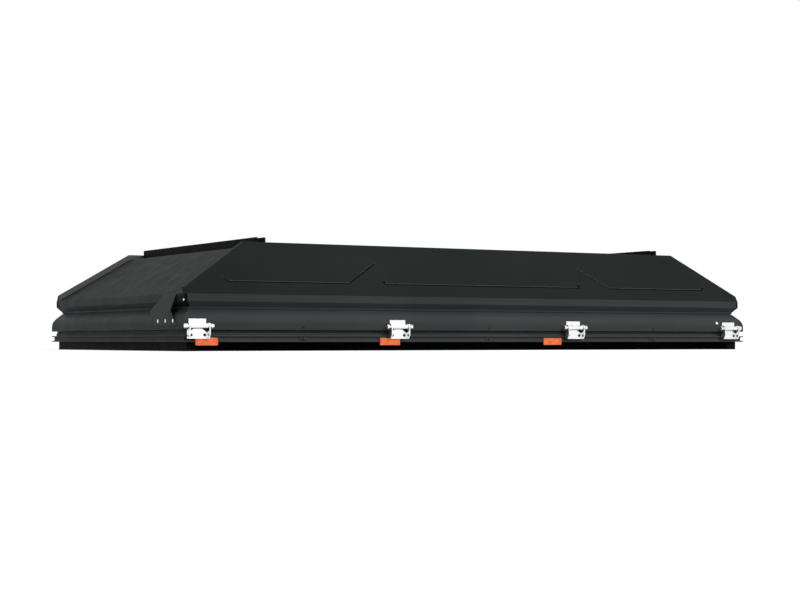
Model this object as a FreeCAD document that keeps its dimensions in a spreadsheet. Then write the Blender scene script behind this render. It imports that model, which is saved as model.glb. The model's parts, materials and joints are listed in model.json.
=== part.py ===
"""Hard shell roof top tent, closed for travel, with a side-hinged hip-roof lid.

Millimetres.  +X runs towards the front of the vehicle, +Y to its left, +Z up.
The origin is at the middle of the footprint, on the underside of the rails.
"""
import FreeCAD
import Part
import Sketcher
import math
import os

doc = FreeCAD.newDocument("roof_tent")
sheet = doc.addObject("Spreadsheet::Sheet", "sizes")

# Driving dimensions: alias, value, what it is.
DRIVING = (
    ("shell_length", 2400.0, "overall length over the skirt"),
    ("shell_width", 1300.0, "overall width over the skirt"),
    ("rail_height", 30.0, "height of the rails under the tray"),
    ("rail_width", 40.0, "width of the rails under the tray"),
    ("cross_rail_inset", 22.0, "cross rail in from the end and sides"),
    ("mount_rail_inset", 125.0, "lengthwise rail in from the side"),
    ("slot_width", 9.0, "mouth of the T-slot in a lengthwise rail"),
    ("slot_lip", 5.0, "lip thickness of that T-slot"),
    ("slot_head_width", 18.0, "room for the bolt head in the T-slot"),
    ("slot_head_depth", 9.0, "depth of that room"),
    ("fixing_hole_radius", 4.5, "clearance hole for the fixing bolts"),
    ("fixing_hole_y", 310.0, "fixing bolts out from the centre line"),
    ("frame_depth", 50.0, "depth of the tray and skirt extrusions"),
    ("tray_height", 40.0, "underside of the tray band up to the seam"),
    ("fin_thick", 4.0, "thickness of the two fins on the tray band"),
    ("fin_drop", 18.0, "top of the upper fin below the seam"),
    ("groove_depth", 8.0, "groove between the two fins"),
    ("seal_recess", 14.0, "shoulder of the tray in from the fins"),
    ("seal_clear", 2.0, "seal in from that shoulder"),
    ("seal_height", 9.0, "height of the gap that the seal fills"),
    ("seal_width", 18.0, "width of the rubber seal"),
    ("seal_gap", 0.3, "seal to the underside of the skirt"),
    ("floor_thick", 18.0, "thickness of the floor panel"),
    ("skirt_straight", 18.0, "upright foot of the skirt"),
    ("skirt_radius", 45.0, "radius of the skirt's rounded shoulder"),
    ("skirt_roll", 45.0, "angle the shoulder turns through"),
    ("throat_inset", 31.0, "undercut of the skirt below its lip"),
    ("crease_depth", 3.0, "crease below the undercut"),
    ("crease_height", 2.5, "height of that crease"),
    ("throat_height", 6.0, "upright face of the undercut"),
    ("lip_inset", 15.0, "lip of the skirt in from its foot"),
    ("lip_height", 25.0, "upright face of the lip"),
    ("skirt_height", 119.0, "seam up to the top of the lip"),
    ("panel_thick", 18.0, "thickness of the roof panels"),
    ("roof_height", 283.0, "seam up to the flat of the roof"),
    ("side_proud", 18.0, "side panels stand above the flat by this"),
    ("side_top_inset", 118.0, "top edge of a side panel in from the side"),
    ("end_top_inset", 274.0, "top edge of an end panel in from the end"),
    ("hip_rise", 21.0, "upright corner edge of a side panel"),
    ("hip_top_inset", 270.0, "top corner of a side panel in from the end"),
    ("panel_gap", 0.0, "end panel to side panel"),
    ("bead_width", 6.0, "pressed bead on a side panel"),
    ("bead_depth", 1.5, "depth of that bead"),
    ("bead_low", 47.0, "long run of a bead up the slope"),
    ("bead_turn", 66.0, "short turned-up end of a bead"),
    ("bead_high", 134.0, "top of a bead's slanting end"),
    ("bead_start", 158.0, "end bead starts in from the end"),
    ("bead_bend", 180.0, "end bead reaches its long run"),
    ("bead_slant", 637.0, "end bead starts to slant up"),
    ("bead_finish", 767.0, "end bead finishes"),
    ("bead_middle", 775.0, "middle bead starts in from the end"),
    ("channel_inset", 345.0, "roof channel in from the end"),
    ("channel_width", 38.0, "width of a roof channel"),
    ("channel_height", 36.0, "height of a roof channel"),
    ("channel_wall", 8.0, "wall of a roof channel"),
    ("channel_floor", 6.0, "floor of a roof channel"),
    ("hinge_offset", 18.0, "hinge pin out from the skirt"),
    ("hinge_rise", 13.0, "hinge pin above the seam"),
    ("hinge_first", 49.0, "first hinge from the rear end"),
    ("hinge_last", 81.0, "last hinge from the front end"),
    ("ear_space", 66.0, "width between the ears of a hinge"),
    ("ear_thick", 4.0, "thickness of an ear"),
    ("ear_radius", 10.0, "rounded top of an ear"),
    ("ear_drop", 42.0, "foot of the ear below the pin"),
    ("ear_waist", 28.0, "ear starts to narrow below the pin"),
    ("ear_foot_out", 2.0, "foot of the ear out from the pin"),
    ("hinge_plate", 4.0, "thickness of the hinge plates"),
    ("plate_clear", 5.0, "lower plate clear of the skirt"),
    ("plate_shoulder", 22.0, "corner of the arched plate below the pin"),
    ("plate_crown", 9.0, "top of the arched plate below the pin"),
    ("crown_width", 30.0, "flat top of the arched plate"),
    ("pin_radius", 4.0, "hinge pin"),
    ("pin_length", 102.0, "hinge pin over its head and nut"),
    ("pin_head", 8.0, "hexagon of the pin's head, over its corners"),
    ("pin_head_thick", 9.0, "thickness of that hexagon"),
    ("barrel_radius", 7.5, "barrel of the upper hinge leaf"),
    ("barrel_clear", 0.3, "barrel to the pin"),
    ("leaf_side_clear", 2.0, "leaf to each ear"),
    ("leaf_height", 23.0, "upper hinge plate above the pin"),
    ("leaf_web_low", 3.0, "underside of the leaf's web above the pin"),
    ("marker_length", 80.0, "side marker"),
    ("marker_height", 25.0, "height of a side marker"),
    ("marker_thick", 3.5, "thickness of a side marker"),
    ("marker_drop", 26.0, "top of a side marker below the seam"),
    ("marker_first", 83.0, "first side marker from the rear end"),
    ("marker_pitch", 693.0, "spacing of the side markers"),
    ("trim_gap", 0.3, "fitted trim to the face it sits on"),
    ("latch_past_marker", 420.0, "latch in front of the marker behind it"),
    ("latch_length", 110.0, "latch plate"),
    ("latch_thick", 4.0, "thickness of a latch plate"),
    ("latch_low", 2.0, "foot of the latch plate above the seam"),
    ("latch_high", 38.0, "top of the latch plate above the seam"),
    ("handle_length", 70.0, "raised handle of a latch"),
    ("handle_thick", 9.0, "handle stands off its plate by this"),
    ("handle_margin", 6.0, "plate left above and below the handle"),
    ("strike_height", 26.0, "height of the strike plate on the tray"),
    ("mattress_thick", 60.0, "foam mattress"),
    ("mattress_end_gap", 112.0, "mattress in from the ends"),
    ("mattress_side_gap", 58.0, "mattress in from the hinge side"),
    ("mattress_far_gap", 84.0, "mattress in from the opening side"),
    ("canvas_thick", 16.0, "folded canvas bundle"),
    ("canvas_end_inset", 90.0, "canvas bundle in from the ends"),
    ("canvas_side_inset", 60.0, "canvas bundle in from the opening side"),
    ("canvas_top", 100.0, "top of the canvas bundle above the seam"),
    ("soft_gap", 0.3, "soft pieces to the floor below them"),
    ("strut_inset", 72.0, "plane of a gas strut in from the end"),
    ("strut_base_y", -330.0, "strut's lower pivot across the tray"),
    ("strut_base_rise", 35.0, "strut's lower pivot above the seam"),
    ("strut_lid_y", 420.0, "strut's upper pivot across the lid"),
    ("strut_lid_rise", 70.0, "strut's upper pivot above the seam"),
    ("strut_radius", 11.0, "gas strut cylinder"),
    ("strut_body_length", 440.0, "lower eye to the mouth of the cylinder"),
    ("rod_radius", 4.0, "gas strut rod"),
    ("rod_clear", 0.4, "rod to the cylinder's bore"),
    ("rod_length", 530.0, "rod inside and outside the cylinder"),
    ("bore_room", 15.0, "bore past the end of the closed rod"),
    ("tube_start", 10.0, "cylinder's tube from its eye's middle"),
    ("eye_radius", 9.0, "eyes of a strut"),
    ("eye_thick", 10.0, "thickness of an eye"),
    ("stud_radius", 4.0, "pivot studs of a strut"),
    ("stud_clear", 0.3, "stud to its eye"),
    ("bracket_thick", 4.0, "strut brackets"),
    ("bracket_clear", 5.0, "lower strut bracket clear of the lid"),
    ("bracket_width", 44.0, "width of a strut bracket"),
    ("bracket_foot", 32.0, "foot of the lower strut bracket"),
    ("bracket_ear", 12.0, "rounded top of the lower strut bracket"),
    ("gusset_foot_near", 48.0, "foot of the corner gusset from the side"),
    ("gusset_foot_far", 224.0, "other end of that foot"),
    ("gusset_fold_near", 103.0, "fold of the gusset from the side"),
    ("gusset_fold_far", 279.0, "other end of that fold"),
    ("gusset_top_near", 85.0, "top of the gusset from the side"),
    ("gusset_top_far", 192.0, "other end of that top"),
    ("gusset_low", 14.0, "foot of the gusset above the seam"),
    ("gusset_fold", 63.0, "fold of the gusset above the seam"),
    ("gusset_thick", 3.0, "sheet of the gusset"),
)


class Size:
    """A length that keeps its value together with its sheet formula."""

    def __init__(self, value, text):
        self.value = float(value)
        self.text = text

    @staticmethod
    def of(other):
        return other if isinstance(other, Size) else Size(other, repr(float(other)))

    def join(self, other, sign, value):
        return Size(value, "(%s %s %s)" % (self.text, sign, other.text))

    def __add__(self, other):
        other = Size.of(other)
        return self.join(other, "+", self.value + other.value)

    def __sub__(self, other):
        other = Size.of(other)
        return self.join(other, "-", self.value - other.value)

    def __mul__(self, other):
        other = Size.of(other)
        return self.join(other, "*", self.value * other.value)

    def __truediv__(self, other):
        other = Size.of(other)
        return self.join(other, "/", self.value / other.value)

    def __radd__(self, other):
        return Size.of(other) + self

    def __rsub__(self, other):
        return Size.of(other) - self

    def __rmul__(self, other):
        return Size.of(other) * self

    def __rtruediv__(self, other):
        return Size.of(other) / self

    def __neg__(self):
        return Size.of(0.0) - self


def sine(angle):
    return Size(math.sin(math.radians(angle.value)), "sin(%s * 1deg)" % angle.text)


def cosine(angle):
    return Size(math.cos(math.radians(angle.value)), "cos(%s * 1deg)" % angle.text)


def root(square):
    return Size(math.sqrt(square.value), "sqrt(%s)" % square.text)


size = {}
for row, (alias, value, note) in enumerate(DRIVING, start=1):
    sheet.set("A%d" % row, alias)
    sheet.set("B%d" % row, str(value))
    sheet.set("C%d" % row, note)
    sheet.setAlias("B%d" % row, alias)
    size[alias] = Size(value, "sizes." + alias)
doc.recompute()

# Heights above the underside of the rails, and distances in from the skirt.
tray_foot = size["rail_height"]
seam = tray_foot + size["tray_height"]
floor_top = tray_foot + size["floor_thick"]
lip_top = seam + size["skirt_height"]
roof_top = seam + size["roof_height"]
side_top = roof_top + size["side_proud"]
half_length = size["shell_length"] / 2
half_width = size["shell_width"] / 2
# Room round an outline that cuts, and overlap where two features join.
outline_margin = 6.0
overlap = 1.0


def bind(item, prop, formula):
    """Ties one property to the sheet."""
    item.setExpression(prop, Size.of(formula).text)


def place(item, x=0.0, y=0.0, z=0.0, turn=0.0, axis=(0, 0, 1)):
    """Turns an item about an axis and ties its position to the sheet."""
    item.Placement = FreeCAD.Placement(
        FreeCAD.Vector(Size.of(x).value, Size.of(y).value, Size.of(z).value),
        FreeCAD.Rotation(FreeCAD.Vector(*axis), turn),
    )
    for name, formula in (("x", x), ("y", y), ("z", z)):
        if isinstance(formula, Size):
            bind(item, "Placement.Base." + name, formula)


def new_body(label):
    item = doc.addObject("PartDesign::Body", label)
    item.Label = label
    return item


def draw(body, name, plane, outlines, circles=(), offset=0.0, lean=None):
    """A sketch on one of the body's own origin planes.

    The plane can lean back about the sketch's own X, by (run, climb).
    An outline is a closed list of corners (across, up) or, where the edge that
    arrives there is an arc turning left or right, (across, up, radius, turn).
    A circle is (across, up, radius).
    """
    sketch = body.newObject("Sketcher::SketchObject", name)
    for origin_item in body.Origin.OriginFeatures:
        if origin_item.Role == plane:
            sketch.AttachmentSupport = (origin_item, "")
    sketch.MapMode = "FlatFace"
    sketch.AttachmentOffset = FreeCAD.Placement(
        FreeCAD.Vector(0, 0, Size.of(offset).value), FreeCAD.Rotation())
    if isinstance(offset, Size):
        bind(sketch, "AttachmentOffset.Base.z", offset)
    if lean:
        angle = math.degrees(math.atan2(lean[0].value, lean[1].value))
        sketch.AttachmentOffset = FreeCAD.Placement(
            sketch.AttachmentOffset.Base, FreeCAD.Rotation(FreeCAD.Vector(-1, 0, 0), angle))
        sketch.setExpression("AttachmentOffset.Rotation.Angle", "atan2(%s; %s)" % (
            lean[0].text, lean[1].text))
    for outline in outlines:
        add_outline(sketch, outline)
    for across, up, radius in circles:
        add_circle(sketch, across, up, radius)
    return sketch


def fix_point(sketch, geometry, vertex, across, up):
    """Holds a sketch point at a distance from the sketch's origin."""
    for kind, formula, line in (("DistanceX", across, -2), ("DistanceY", up, -1)):
        formula = Size.of(formula)
        if formula.value == 0.0:
            sketch.addConstraint(
                Sketcher.Constraint("PointOnObject", geometry, vertex, line))
            continue
        index = sketch.addConstraint(
            Sketcher.Constraint(kind, -1, 1, geometry, vertex, formula.value))
        sketch.setExpression("Constraints[%d]" % index, formula.text)


def add_circle(sketch, across, up, radius):
    centre = FreeCAD.Vector(Size.of(across).value, Size.of(up).value, 0)
    circle = Part.Circle(centre, FreeCAD.Vector(0, 0, 1), Size.of(radius).value)
    geometry = sketch.addGeometry(circle, False)
    fix_point(sketch, geometry, 3, across, up)
    index = sketch.addConstraint(
        Sketcher.Constraint("Radius", geometry, Size.of(radius).value))
    sketch.setExpression("Constraints[%d]" % index, Size.of(radius).text)


def add_arc(sketch, start, end, radius, turn):
    """An arc from start to end; turn is 1 to the left, -1 to the right."""
    chord = end - start
    half = chord.Length / 2
    left = FreeCAD.Vector(-chord.y, chord.x, 0) / chord.Length
    rise = math.sqrt(max(radius * radius - half * half, 0.0))
    centre = (start + end) / 2 + left * (rise * turn)
    begin = math.atan2(start.y - centre.y, start.x - centre.x)
    finish = math.atan2(end.y - centre.y, end.x - centre.x)
    if turn < 0:
        begin, finish = finish, begin
    if finish < begin:
        finish += 2 * math.pi
    circle = Part.Circle(centre, FreeCAD.Vector(0, 0, 1), radius)
    geometry = sketch.addGeometry(Part.ArcOfCircle(circle, begin, finish), False)
    return geometry, (1, 2) if turn > 0 else (2, 1)


def add_outline(sketch, corners):
    edges = []
    for index, corner in enumerate(corners):
        before = corners[index - 1]
        start = FreeCAD.Vector(Size.of(before[0]).value, Size.of(before[1]).value, 0)
        end = FreeCAD.Vector(Size.of(corner[0]).value, Size.of(corner[1]).value, 0)
        if len(corner) == 2:
            geometry = sketch.addGeometry(Part.LineSegment(start, end), False)
            edges.append((geometry, 1, 2))
        else:
            radius = Size.of(corner[2])
            geometry, ends = add_arc(sketch, start, end, radius.value, corner[3])
            edges.append((geometry, ends[0], ends[1]))
    for index, (geometry, first, last) in enumerate(edges):
        follower = edges[(index + 1) % len(edges)]
        sketch.addConstraint(
            Sketcher.Constraint("Coincident", geometry, last, follower[0], follower[1]))
        fix_point(sketch, geometry, last, corners[index][0], corners[index][1])
    for index, corner in enumerate(corners):
        if len(corner) > 2:
            radius = Size.of(corner[2])
            number = sketch.addConstraint(
                Sketcher.Constraint("Radius", edges[index][0], radius.value))
            sketch.setExpression("Constraints[%d]" % number, radius.text)


def pad(body, name, sketch, length):
    feature = body.newObject("PartDesign::Pad", name)
    feature.Profile = sketch
    feature.Length = Size.of(length).value
    bind(feature, "Length", length)
    body.Tip = feature
    doc.recompute()
    return feature


def cut_through(body, name, sketch, backwards=False, depth=None):
    """A pocket on one side of the sketch, through everything or to a depth."""
    before = body.Shape.Volume
    feature = body.newObject("PartDesign::Pocket", name)
    feature.Profile = sketch
    feature.Reversed = backwards
    if depth is None:
        feature.Type = 1
    else:
        feature.Length = depth.value
        bind(feature, "Length", depth)
    body.Tip = feature
    doc.recompute()
    assert body.Shape.Volume < before - 1.0, body.Label + " " + name + " cuts nothing"
    return feature


parts = []


def done(item):
    parts.append(item)
    return item


# The four sides of the rectangle.  A bar lies along its own X from 0 to its
# length, its outer face at Y = 0 and its depth towards +Y.
# side, length, turn, x and y of the bar's start
SIDES = (
    ("right", size["shell_length"], 0, -half_length, -half_width),
    ("left", size["shell_length"], 180, half_length, half_width),
    ("front", size["shell_width"], 90, half_length, -half_width),
    ("rear", size["shell_width"], -90, -half_length, half_width),
)


def mitred_bar(label, side, profile, height):
    """An extrusion along one side, mitred at both ends."""
    name, length, turn, x, y = side
    body = new_body(label)
    pad(body, "run", draw(body, "section", "YZ_Plane", [profile]), length)
    reach = size["frame_depth"] + outline_margin
    low = -outline_margin
    corner_start = [(low, low), (reach, reach), (low, reach)]
    corner_end = [(length - low, low), (length - low, reach), (length - reach, reach)]
    mitre = draw(body, "mitre", "XY_Plane", [corner_start, corner_end])
    cut_through(body, "mitres", mitre, backwards=True)
    place(body, x, y, height, turn)
    return done(body)


# Skirt of the lid: upright foot, rounded shoulder, crease, undercut and lip.
def skirt_profile():
    roll = size["skirt_roll"]
    shoulder_inset = size["skirt_radius"] * (1 - cosine(roll))
    shoulder_height = size["skirt_straight"] + size["skirt_radius"] * sine(roll)
    run = size["throat_inset"] - shoulder_inset
    crease_low = shoulder_height + run * cosine(roll) / sine(roll)
    crease_high = crease_low + size["crease_height"]
    throat_high = crease_high + size["throat_height"]
    lip_low = size["skirt_height"] - size["lip_height"]
    deep = size["throat_inset"] + size["crease_depth"]
    return [
        (0, 0),
        (size["frame_depth"], 0),
        (size["frame_depth"], size["skirt_height"]),
        (size["lip_inset"], size["skirt_height"]),
        (size["lip_inset"], lip_low),
        (size["throat_inset"], throat_high),
        (size["throat_inset"], crease_high),
        (deep, crease_high),
        (deep, crease_low),
        (size["throat_inset"], crease_low),
        (shoulder_inset, shoulder_height),
        (0, size["skirt_straight"], size["skirt_radius"], 1),
    ]


# Tray band: two fins with a groove between, and a shoulder for the seal.
def tray_profile():
    upper_top = size["tray_height"] - size["fin_drop"]
    upper_foot = upper_top - size["fin_thick"]
    shoulder = size["tray_height"] - size["seal_height"]
    return [
        (0, 0),
        (size["frame_depth"], 0),
        (size["frame_depth"], shoulder),
        (size["seal_recess"], shoulder),
        (size["seal_recess"], upper_top),
        (0, upper_top),
        (0, upper_foot),
        (size["groove_depth"], upper_foot),
        (size["groove_depth"], size["fin_thick"]),
        (0, size["fin_thick"]),
    ]


for side in SIDES:
    mitred_bar("tray_" + side[0], side, tray_profile(), tray_foot)
    mitred_bar("skirt_" + side[0], side, skirt_profile(), seam)


def box(label, x, y, z, length, width, height):
    item = doc.addObject("Part::Box", label)
    item.Label = label
    for prop, formula in (("Length", length), ("Width", width), ("Height", height)):
        bind(item, prop, formula)
    place(item, x, y, z)
    return item


# Floor panel of the tray, between the four tray extrusions.
inner_x = half_length - size["frame_depth"]
inner_y = half_width - size["frame_depth"]
done(box("floor_panel", -inner_x, -inner_y, tray_foot,
         2 * inner_x, 2 * inner_y, size["floor_thick"]))

# Rubber seal round the tray's shoulder.
seal_start = size["seal_recess"] + size["seal_clear"]
seal_foot = seam - size["seal_height"]
seal_rise = size["seal_height"] - size["seal_gap"]
outer_x = half_length - seal_start
outer_y = half_width - seal_start
seal_outer = box("seal_outer", -outer_x, -outer_y, seal_foot,
                 2 * outer_x, 2 * outer_y, seal_rise)
hole_x = outer_x - size["seal_width"]
hole_y = outer_y - size["seal_width"]
seal_hole = box("seal_hole", -hole_x, -hole_y, seal_foot - overlap,
                2 * hole_x, 2 * hole_y, seal_rise + 2 * overlap)
seal = doc.addObject("Part::Cut", "seal")
seal.Base = seal_outer
seal.Tool = seal_hole
done(seal)

# Lengthwise mounting rails with a T-slot open downwards.
rail_start = size["cross_rail_inset"] + size["rail_width"]
rail_run = size["shell_length"] - 2 * rail_start
rail_middle = size["rail_width"] / 2
mouth = size["slot_width"] / 2
head = size["slot_head_width"] / 2
head_top = size["slot_lip"] + size["slot_head_depth"]
T_SLOT = [
    (0, 0),
    (rail_middle - mouth, 0),
    (rail_middle - mouth, size["slot_lip"]),
    (rail_middle - head, size["slot_lip"]),
    (rail_middle - head, head_top),
    (rail_middle + head, head_top),
    (rail_middle + head, size["slot_lip"]),
    (rail_middle + mouth, size["slot_lip"]),
    (rail_middle + mouth, 0),
    (size["rail_width"], 0),
    (size["rail_width"], size["rail_height"]),
    (0, size["rail_height"]),
]
rail_y = half_width - size["mount_rail_inset"]
for name, low_y in (("left", rail_y - size["rail_width"]), ("right", -rail_y)):
    body = new_body("mount_rail_" + name)
    pad(body, "run", draw(body, "section", "YZ_Plane", [T_SLOT]), rail_run)
    place(body, rail_start - half_length, low_y, 0.0)
    done(body)

# Cross rails at both ends, with clearance holes for the fixing bolts.
cross_run = size["shell_width"] - 2 * size["cross_rail_inset"]
cross_middle = cross_run / 2
cross_front = half_length - size["cross_rail_inset"] - size["rail_width"]
cross_rear = size["cross_rail_inset"] - half_length
for name, low_x in (("front", cross_front), ("rear", cross_rear)):
    body = new_body("cross_rail_" + name)
    bar = [(0, 0), (size["rail_width"], 0), (size["rail_width"], cross_run), (0, cross_run)]
    holes = [(rail_middle, cross_middle + offset, size["fixing_hole_radius"])
             for offset in (size["fixing_hole_y"], -size["fixing_hole_y"])]
    pad(body, "bar", draw(body, "outline", "XY_Plane", [bar], holes), size["rail_height"])
    place(body, low_x, -cross_middle, 0.0)
    done(body)

# Slopes of the hip roof.
side_run = size["side_top_inset"] - size["lip_inset"]
side_climb = size["roof_height"] + size["side_proud"] - size["skirt_height"]
side_slope = side_climb / side_run
side_across = size["panel_thick"] * root(1 + 1 / (side_slope * side_slope))
end_run = size["end_top_inset"] - size["lip_inset"]
end_climb = size["roof_height"] - size["skirt_height"]
end_slope = end_climb / end_run
end_down = size["panel_thick"] * root(1 + end_slope * end_slope)


def side_inner(height):
    """Inner face of a side panel, in from the side, at a height over the lip."""
    return size["lip_inset"] + side_across + height / side_slope


def roof_panel(label, side, profile, end_cut, mirror_cut):
    """A sloping panel with its two ends cut square to the side."""
    name, length, turn, x, y = side
    body = new_body(label)
    pad(body, "run", draw(body, "section", "YZ_Plane", [profile]), length)
    cut_through(body, "ends", draw(body, "end_cuts", "XZ_Plane", [end_cut, mirror_cut]))
    place(body, x, y, lip_top, turn)
    return done(body)


def mirrored(outline, length):
    return [(length - across, up) for across, up in outline]


# Side panels: full length, standing proud of the end panels and the flat.
side_profile = [
    (size["lip_inset"], 0),
    (size["lip_inset"] + side_across, 0),
    (size["side_top_inset"] + side_across, side_climb),
    (size["side_top_inset"], side_climb),
]
hip_cut = [
    (-outline_margin, -outline_margin),
    (size["lip_inset"], -outline_margin),
    (size["lip_inset"], size["hip_rise"]),
    (size["hip_top_inset"], side_climb),
    (size["hip_top_inset"], side_climb + outline_margin),
    (-outline_margin, side_climb + outline_margin),
]


def turned_up(across, up):
    """Mitre and level width of a band, for a unit of its own width."""
    length = root(across * across + up * up)
    return (length - across) / up, length / up


# Pressed beads on the slope: one in the middle and one towards each end.
bead = size["bead_width"]
bead_top = size["bead_low"] + bead
start_mitre, start_level = turned_up(size["bead_bend"] - size["bead_start"],
                                     size["bead_turn"] - size["bead_low"])
slant_mitre, slant_level = turned_up(size["bead_finish"] - size["bead_slant"],
                                     size["bead_high"] - size["bead_low"])
end_bead = [
    (size["bead_start"], size["bead_turn"]),
    (size["bead_bend"], size["bead_low"]),
    (size["bead_slant"], size["bead_low"]),
    (size["bead_finish"], size["bead_high"]),
    (size["bead_finish"] - bead * slant_level, size["bead_high"]),
    (size["bead_slant"] - bead * slant_mitre, bead_top),
    (size["bead_bend"] + bead * start_mitre, bead_top),
    (size["bead_start"] + bead * start_level, size["bead_turn"]),
]
middle_far = size["shell_length"] - size["bead_middle"]
middle_bead = [
    (size["bead_middle"], size["bead_turn"]),
    (size["bead_middle"], size["bead_low"]),
    (middle_far, size["bead_low"]),
    (middle_far, size["bead_turn"]),
    (middle_far - bead, size["bead_turn"]),
    (middle_far - bead, bead_top),
    (size["bead_middle"] + bead, bead_top),
    (size["bead_middle"] + bead, size["bead_turn"]),
]
BEADS = [end_bead, middle_bead, mirrored(end_bead, size["shell_length"])]
for side in SIDES[:2]:
    body = roof_panel("side_panel_" + side[0], side, side_profile, hip_cut,
                      mirrored(hip_cut, size["shell_length"]))
    slope = draw(body, "bead_outlines", "XZ_Plane", BEADS, (), -size["lip_inset"],
                 (side_run, side_climb))
    cut_through(body, "beads", slope, depth=size["bead_depth"])

# End panels: between the side panels' inner faces.
end_profile = [
    (size["lip_inset"], 0),
    (size["lip_inset"] + end_down / end_slope, 0),
    (size["end_top_inset"], end_climb - end_down),
    (size["end_top_inset"], end_climb),
]
cut_low = -size["panel_thick"]
cut_high = end_climb + size["panel_thick"]
wedge_cut = [
    (-outline_margin, cut_low),
    (side_inner(cut_low) + size["panel_gap"], cut_low),
    (side_inner(cut_high) + size["panel_gap"], cut_high),
    (-outline_margin, cut_high),
]
for side in SIDES[2:]:
    roof_panel("end_panel_" + side[0], side, end_profile, wedge_cut,
               mirrored(wedge_cut, size["shell_width"]))

# Flat of the roof: its long edges lie on the side panels' inner faces.
flat_run = size["shell_length"] - 2 * size["end_top_inset"]
flat_high = half_width - side_inner(end_climb) - size["panel_gap"]
flat_low = half_width - side_inner(end_climb - size["panel_thick"]) - size["panel_gap"]
flat_section = [
    (-flat_low, 0),
    (flat_low, 0),
    (flat_high, size["panel_thick"]),
    (-flat_high, size["panel_thick"]),
]
body = new_body("roof_flat")
pad(body, "run", draw(body, "section", "YZ_Plane", [flat_section]), flat_run)
place(body, size["end_top_inset"] - half_length, 0.0, roof_top - size["panel_thick"])
done(body)

# Roof channels across the flat, open upwards, between the proud side panels.
channel_end = half_width - side_inner(side_climb) - size["trim_gap"]
wall = size["channel_wall"]
channel_section = [
    (0, 0),
    (size["channel_width"], 0),
    (size["channel_width"], size["channel_height"]),
    (size["channel_width"] - wall, size["channel_height"]),
    (size["channel_width"] - wall, size["channel_floor"]),
    (wall, size["channel_floor"]),
    (wall, size["channel_height"]),
    (0, size["channel_height"]),
]
channel_x = half_length - size["channel_inset"]
for name, middle in (("front", channel_x), ("rear", -channel_x)):
    body = new_body("roof_channel_" + name)
    # The section is drawn across X; the run goes from +Y to -Y.
    pad(body, "run", draw(body, "section", "XZ_Plane", [channel_section]), 2 * channel_end)
    place(body, middle - size["channel_width"] / 2, channel_end, roof_top)
    done(body)

# Hinges along the right side.  A hinge's own origin is on its pin, with +Y
# towards the shell.
pin_y = -half_width - size["hinge_offset"]
pin_z = seam + size["hinge_rise"]
hinge_first_x = size["hinge_first"] - half_length
hinge_last_x = half_length - size["hinge_last"]
hinge_count = 4
shell_face = size["hinge_offset"]
plate_back = shell_face - size["plate_clear"]
plate_front = plate_back - size["hinge_plate"]
half_ears = size["ear_space"] / 2
ear_out = half_ears + size["ear_thick"]


def hinge_base(label, x):
    """Arched plate with two ears and the pin, on the tray's upper fin."""
    body = new_body(label)
    foot = -size["ear_drop"]
    half_crown = size["crown_width"] / 2
    arch = [
        (-half_ears, foot),
        (half_ears, foot),
        (half_ears, -size["plate_shoulder"]),
        (half_crown, -size["plate_crown"]),
        (-half_crown, -size["plate_crown"]),
        (-half_ears, -size["plate_shoulder"]),
    ]
    # The XZ plane faces -Y, so a pad from its offset runs towards -Y.
    plate = draw(body, "arch", "XZ_Plane", [arch], (), -plate_back)
    pad(body, "plate", plate, size["hinge_plate"])
    radius = size["ear_radius"]
    ear = [
        (plate_back, -size["plate_crown"]),
        (plate_back, foot),
        (-size["ear_foot_out"], foot),
        (-radius, -size["ear_waist"]),
        (-radius, 0),
        (0, radius, radius, -1),
        (radius, 0, radius, -1),
    ]
    for name, start in (("ear_a", -ear_out), ("ear_b", half_ears)):
        pad(body, name, draw(body, name + "_outline", "YZ_Plane", [ear], (), start),
            size["ear_thick"])
    half_pin = size["pin_length"] / 2
    pin = draw(body, "pin_outline", "YZ_Plane", [], [(0, 0, size["pin_radius"])], -half_pin)
    pad(body, "pin", pin, size["pin_length"])
    corner = size["pin_head"]
    flat = corner * cosine(Size.of(30.0))
    hexagon = [(0, corner), (-flat, corner / 2), (-flat, -corner / 2),
               (0, -corner), (flat, -corner / 2), (flat, corner / 2)]
    for name, start in (("head", -half_pin), ("nut", half_pin - size["pin_head_thick"])):
        outline = draw(body, name + "_outline", "YZ_Plane", [hexagon], (), start)
        pad(body, name, outline, size["pin_head_thick"])
    # Rib that seats on the upper fin of the tray band.
    rib_top = -size["hinge_rise"] - size["fin_drop"]
    rib = [
        (plate_front, rib_top - size["fin_thick"]),
        (shell_face, rib_top - size["fin_thick"]),
        (shell_face, rib_top),
        (plate_front, rib_top),
    ]
    pad(body, "rib", draw(body, "rib_outline", "YZ_Plane", [rib], (), -half_ears),
        size["ear_space"])
    place(body, x, pin_y, pin_z)
    return done(body)


def hinge_leaf(label, x):
    """Barrel on the pin, web and upright plate on the skirt."""
    body = new_body(label)
    half_leaf = half_ears - size["leaf_side_clear"]
    leaf_width = 2 * half_leaf
    barrel = draw(body, "barrel_outline", "YZ_Plane", [],
                  [(0, 0, size["barrel_radius"])], -half_leaf)
    pad(body, "barrel", barrel, leaf_width)
    upright = shell_face - size["hinge_plate"]
    web = [
        (0, size["leaf_web_low"]),
        (shell_face, size["leaf_web_low"]),
        (shell_face, size["leaf_height"]),
        (upright, size["leaf_height"]),
        (upright, size["barrel_radius"]),
        (0, size["barrel_radius"]),
    ]
    pad(body, "web", draw(body, "web_outline", "YZ_Plane", [web], (), -half_leaf),
        leaf_width)
    bore_radius = size["pin_radius"] + size["barrel_clear"]
    bore = draw(body, "bore_outline", "YZ_Plane", [], [(0, 0, bore_radius)], -half_leaf)
    cut_through(body, "bore", bore, backwards=True)
    place(body, x, pin_y, pin_z)
    return done(body)


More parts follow.
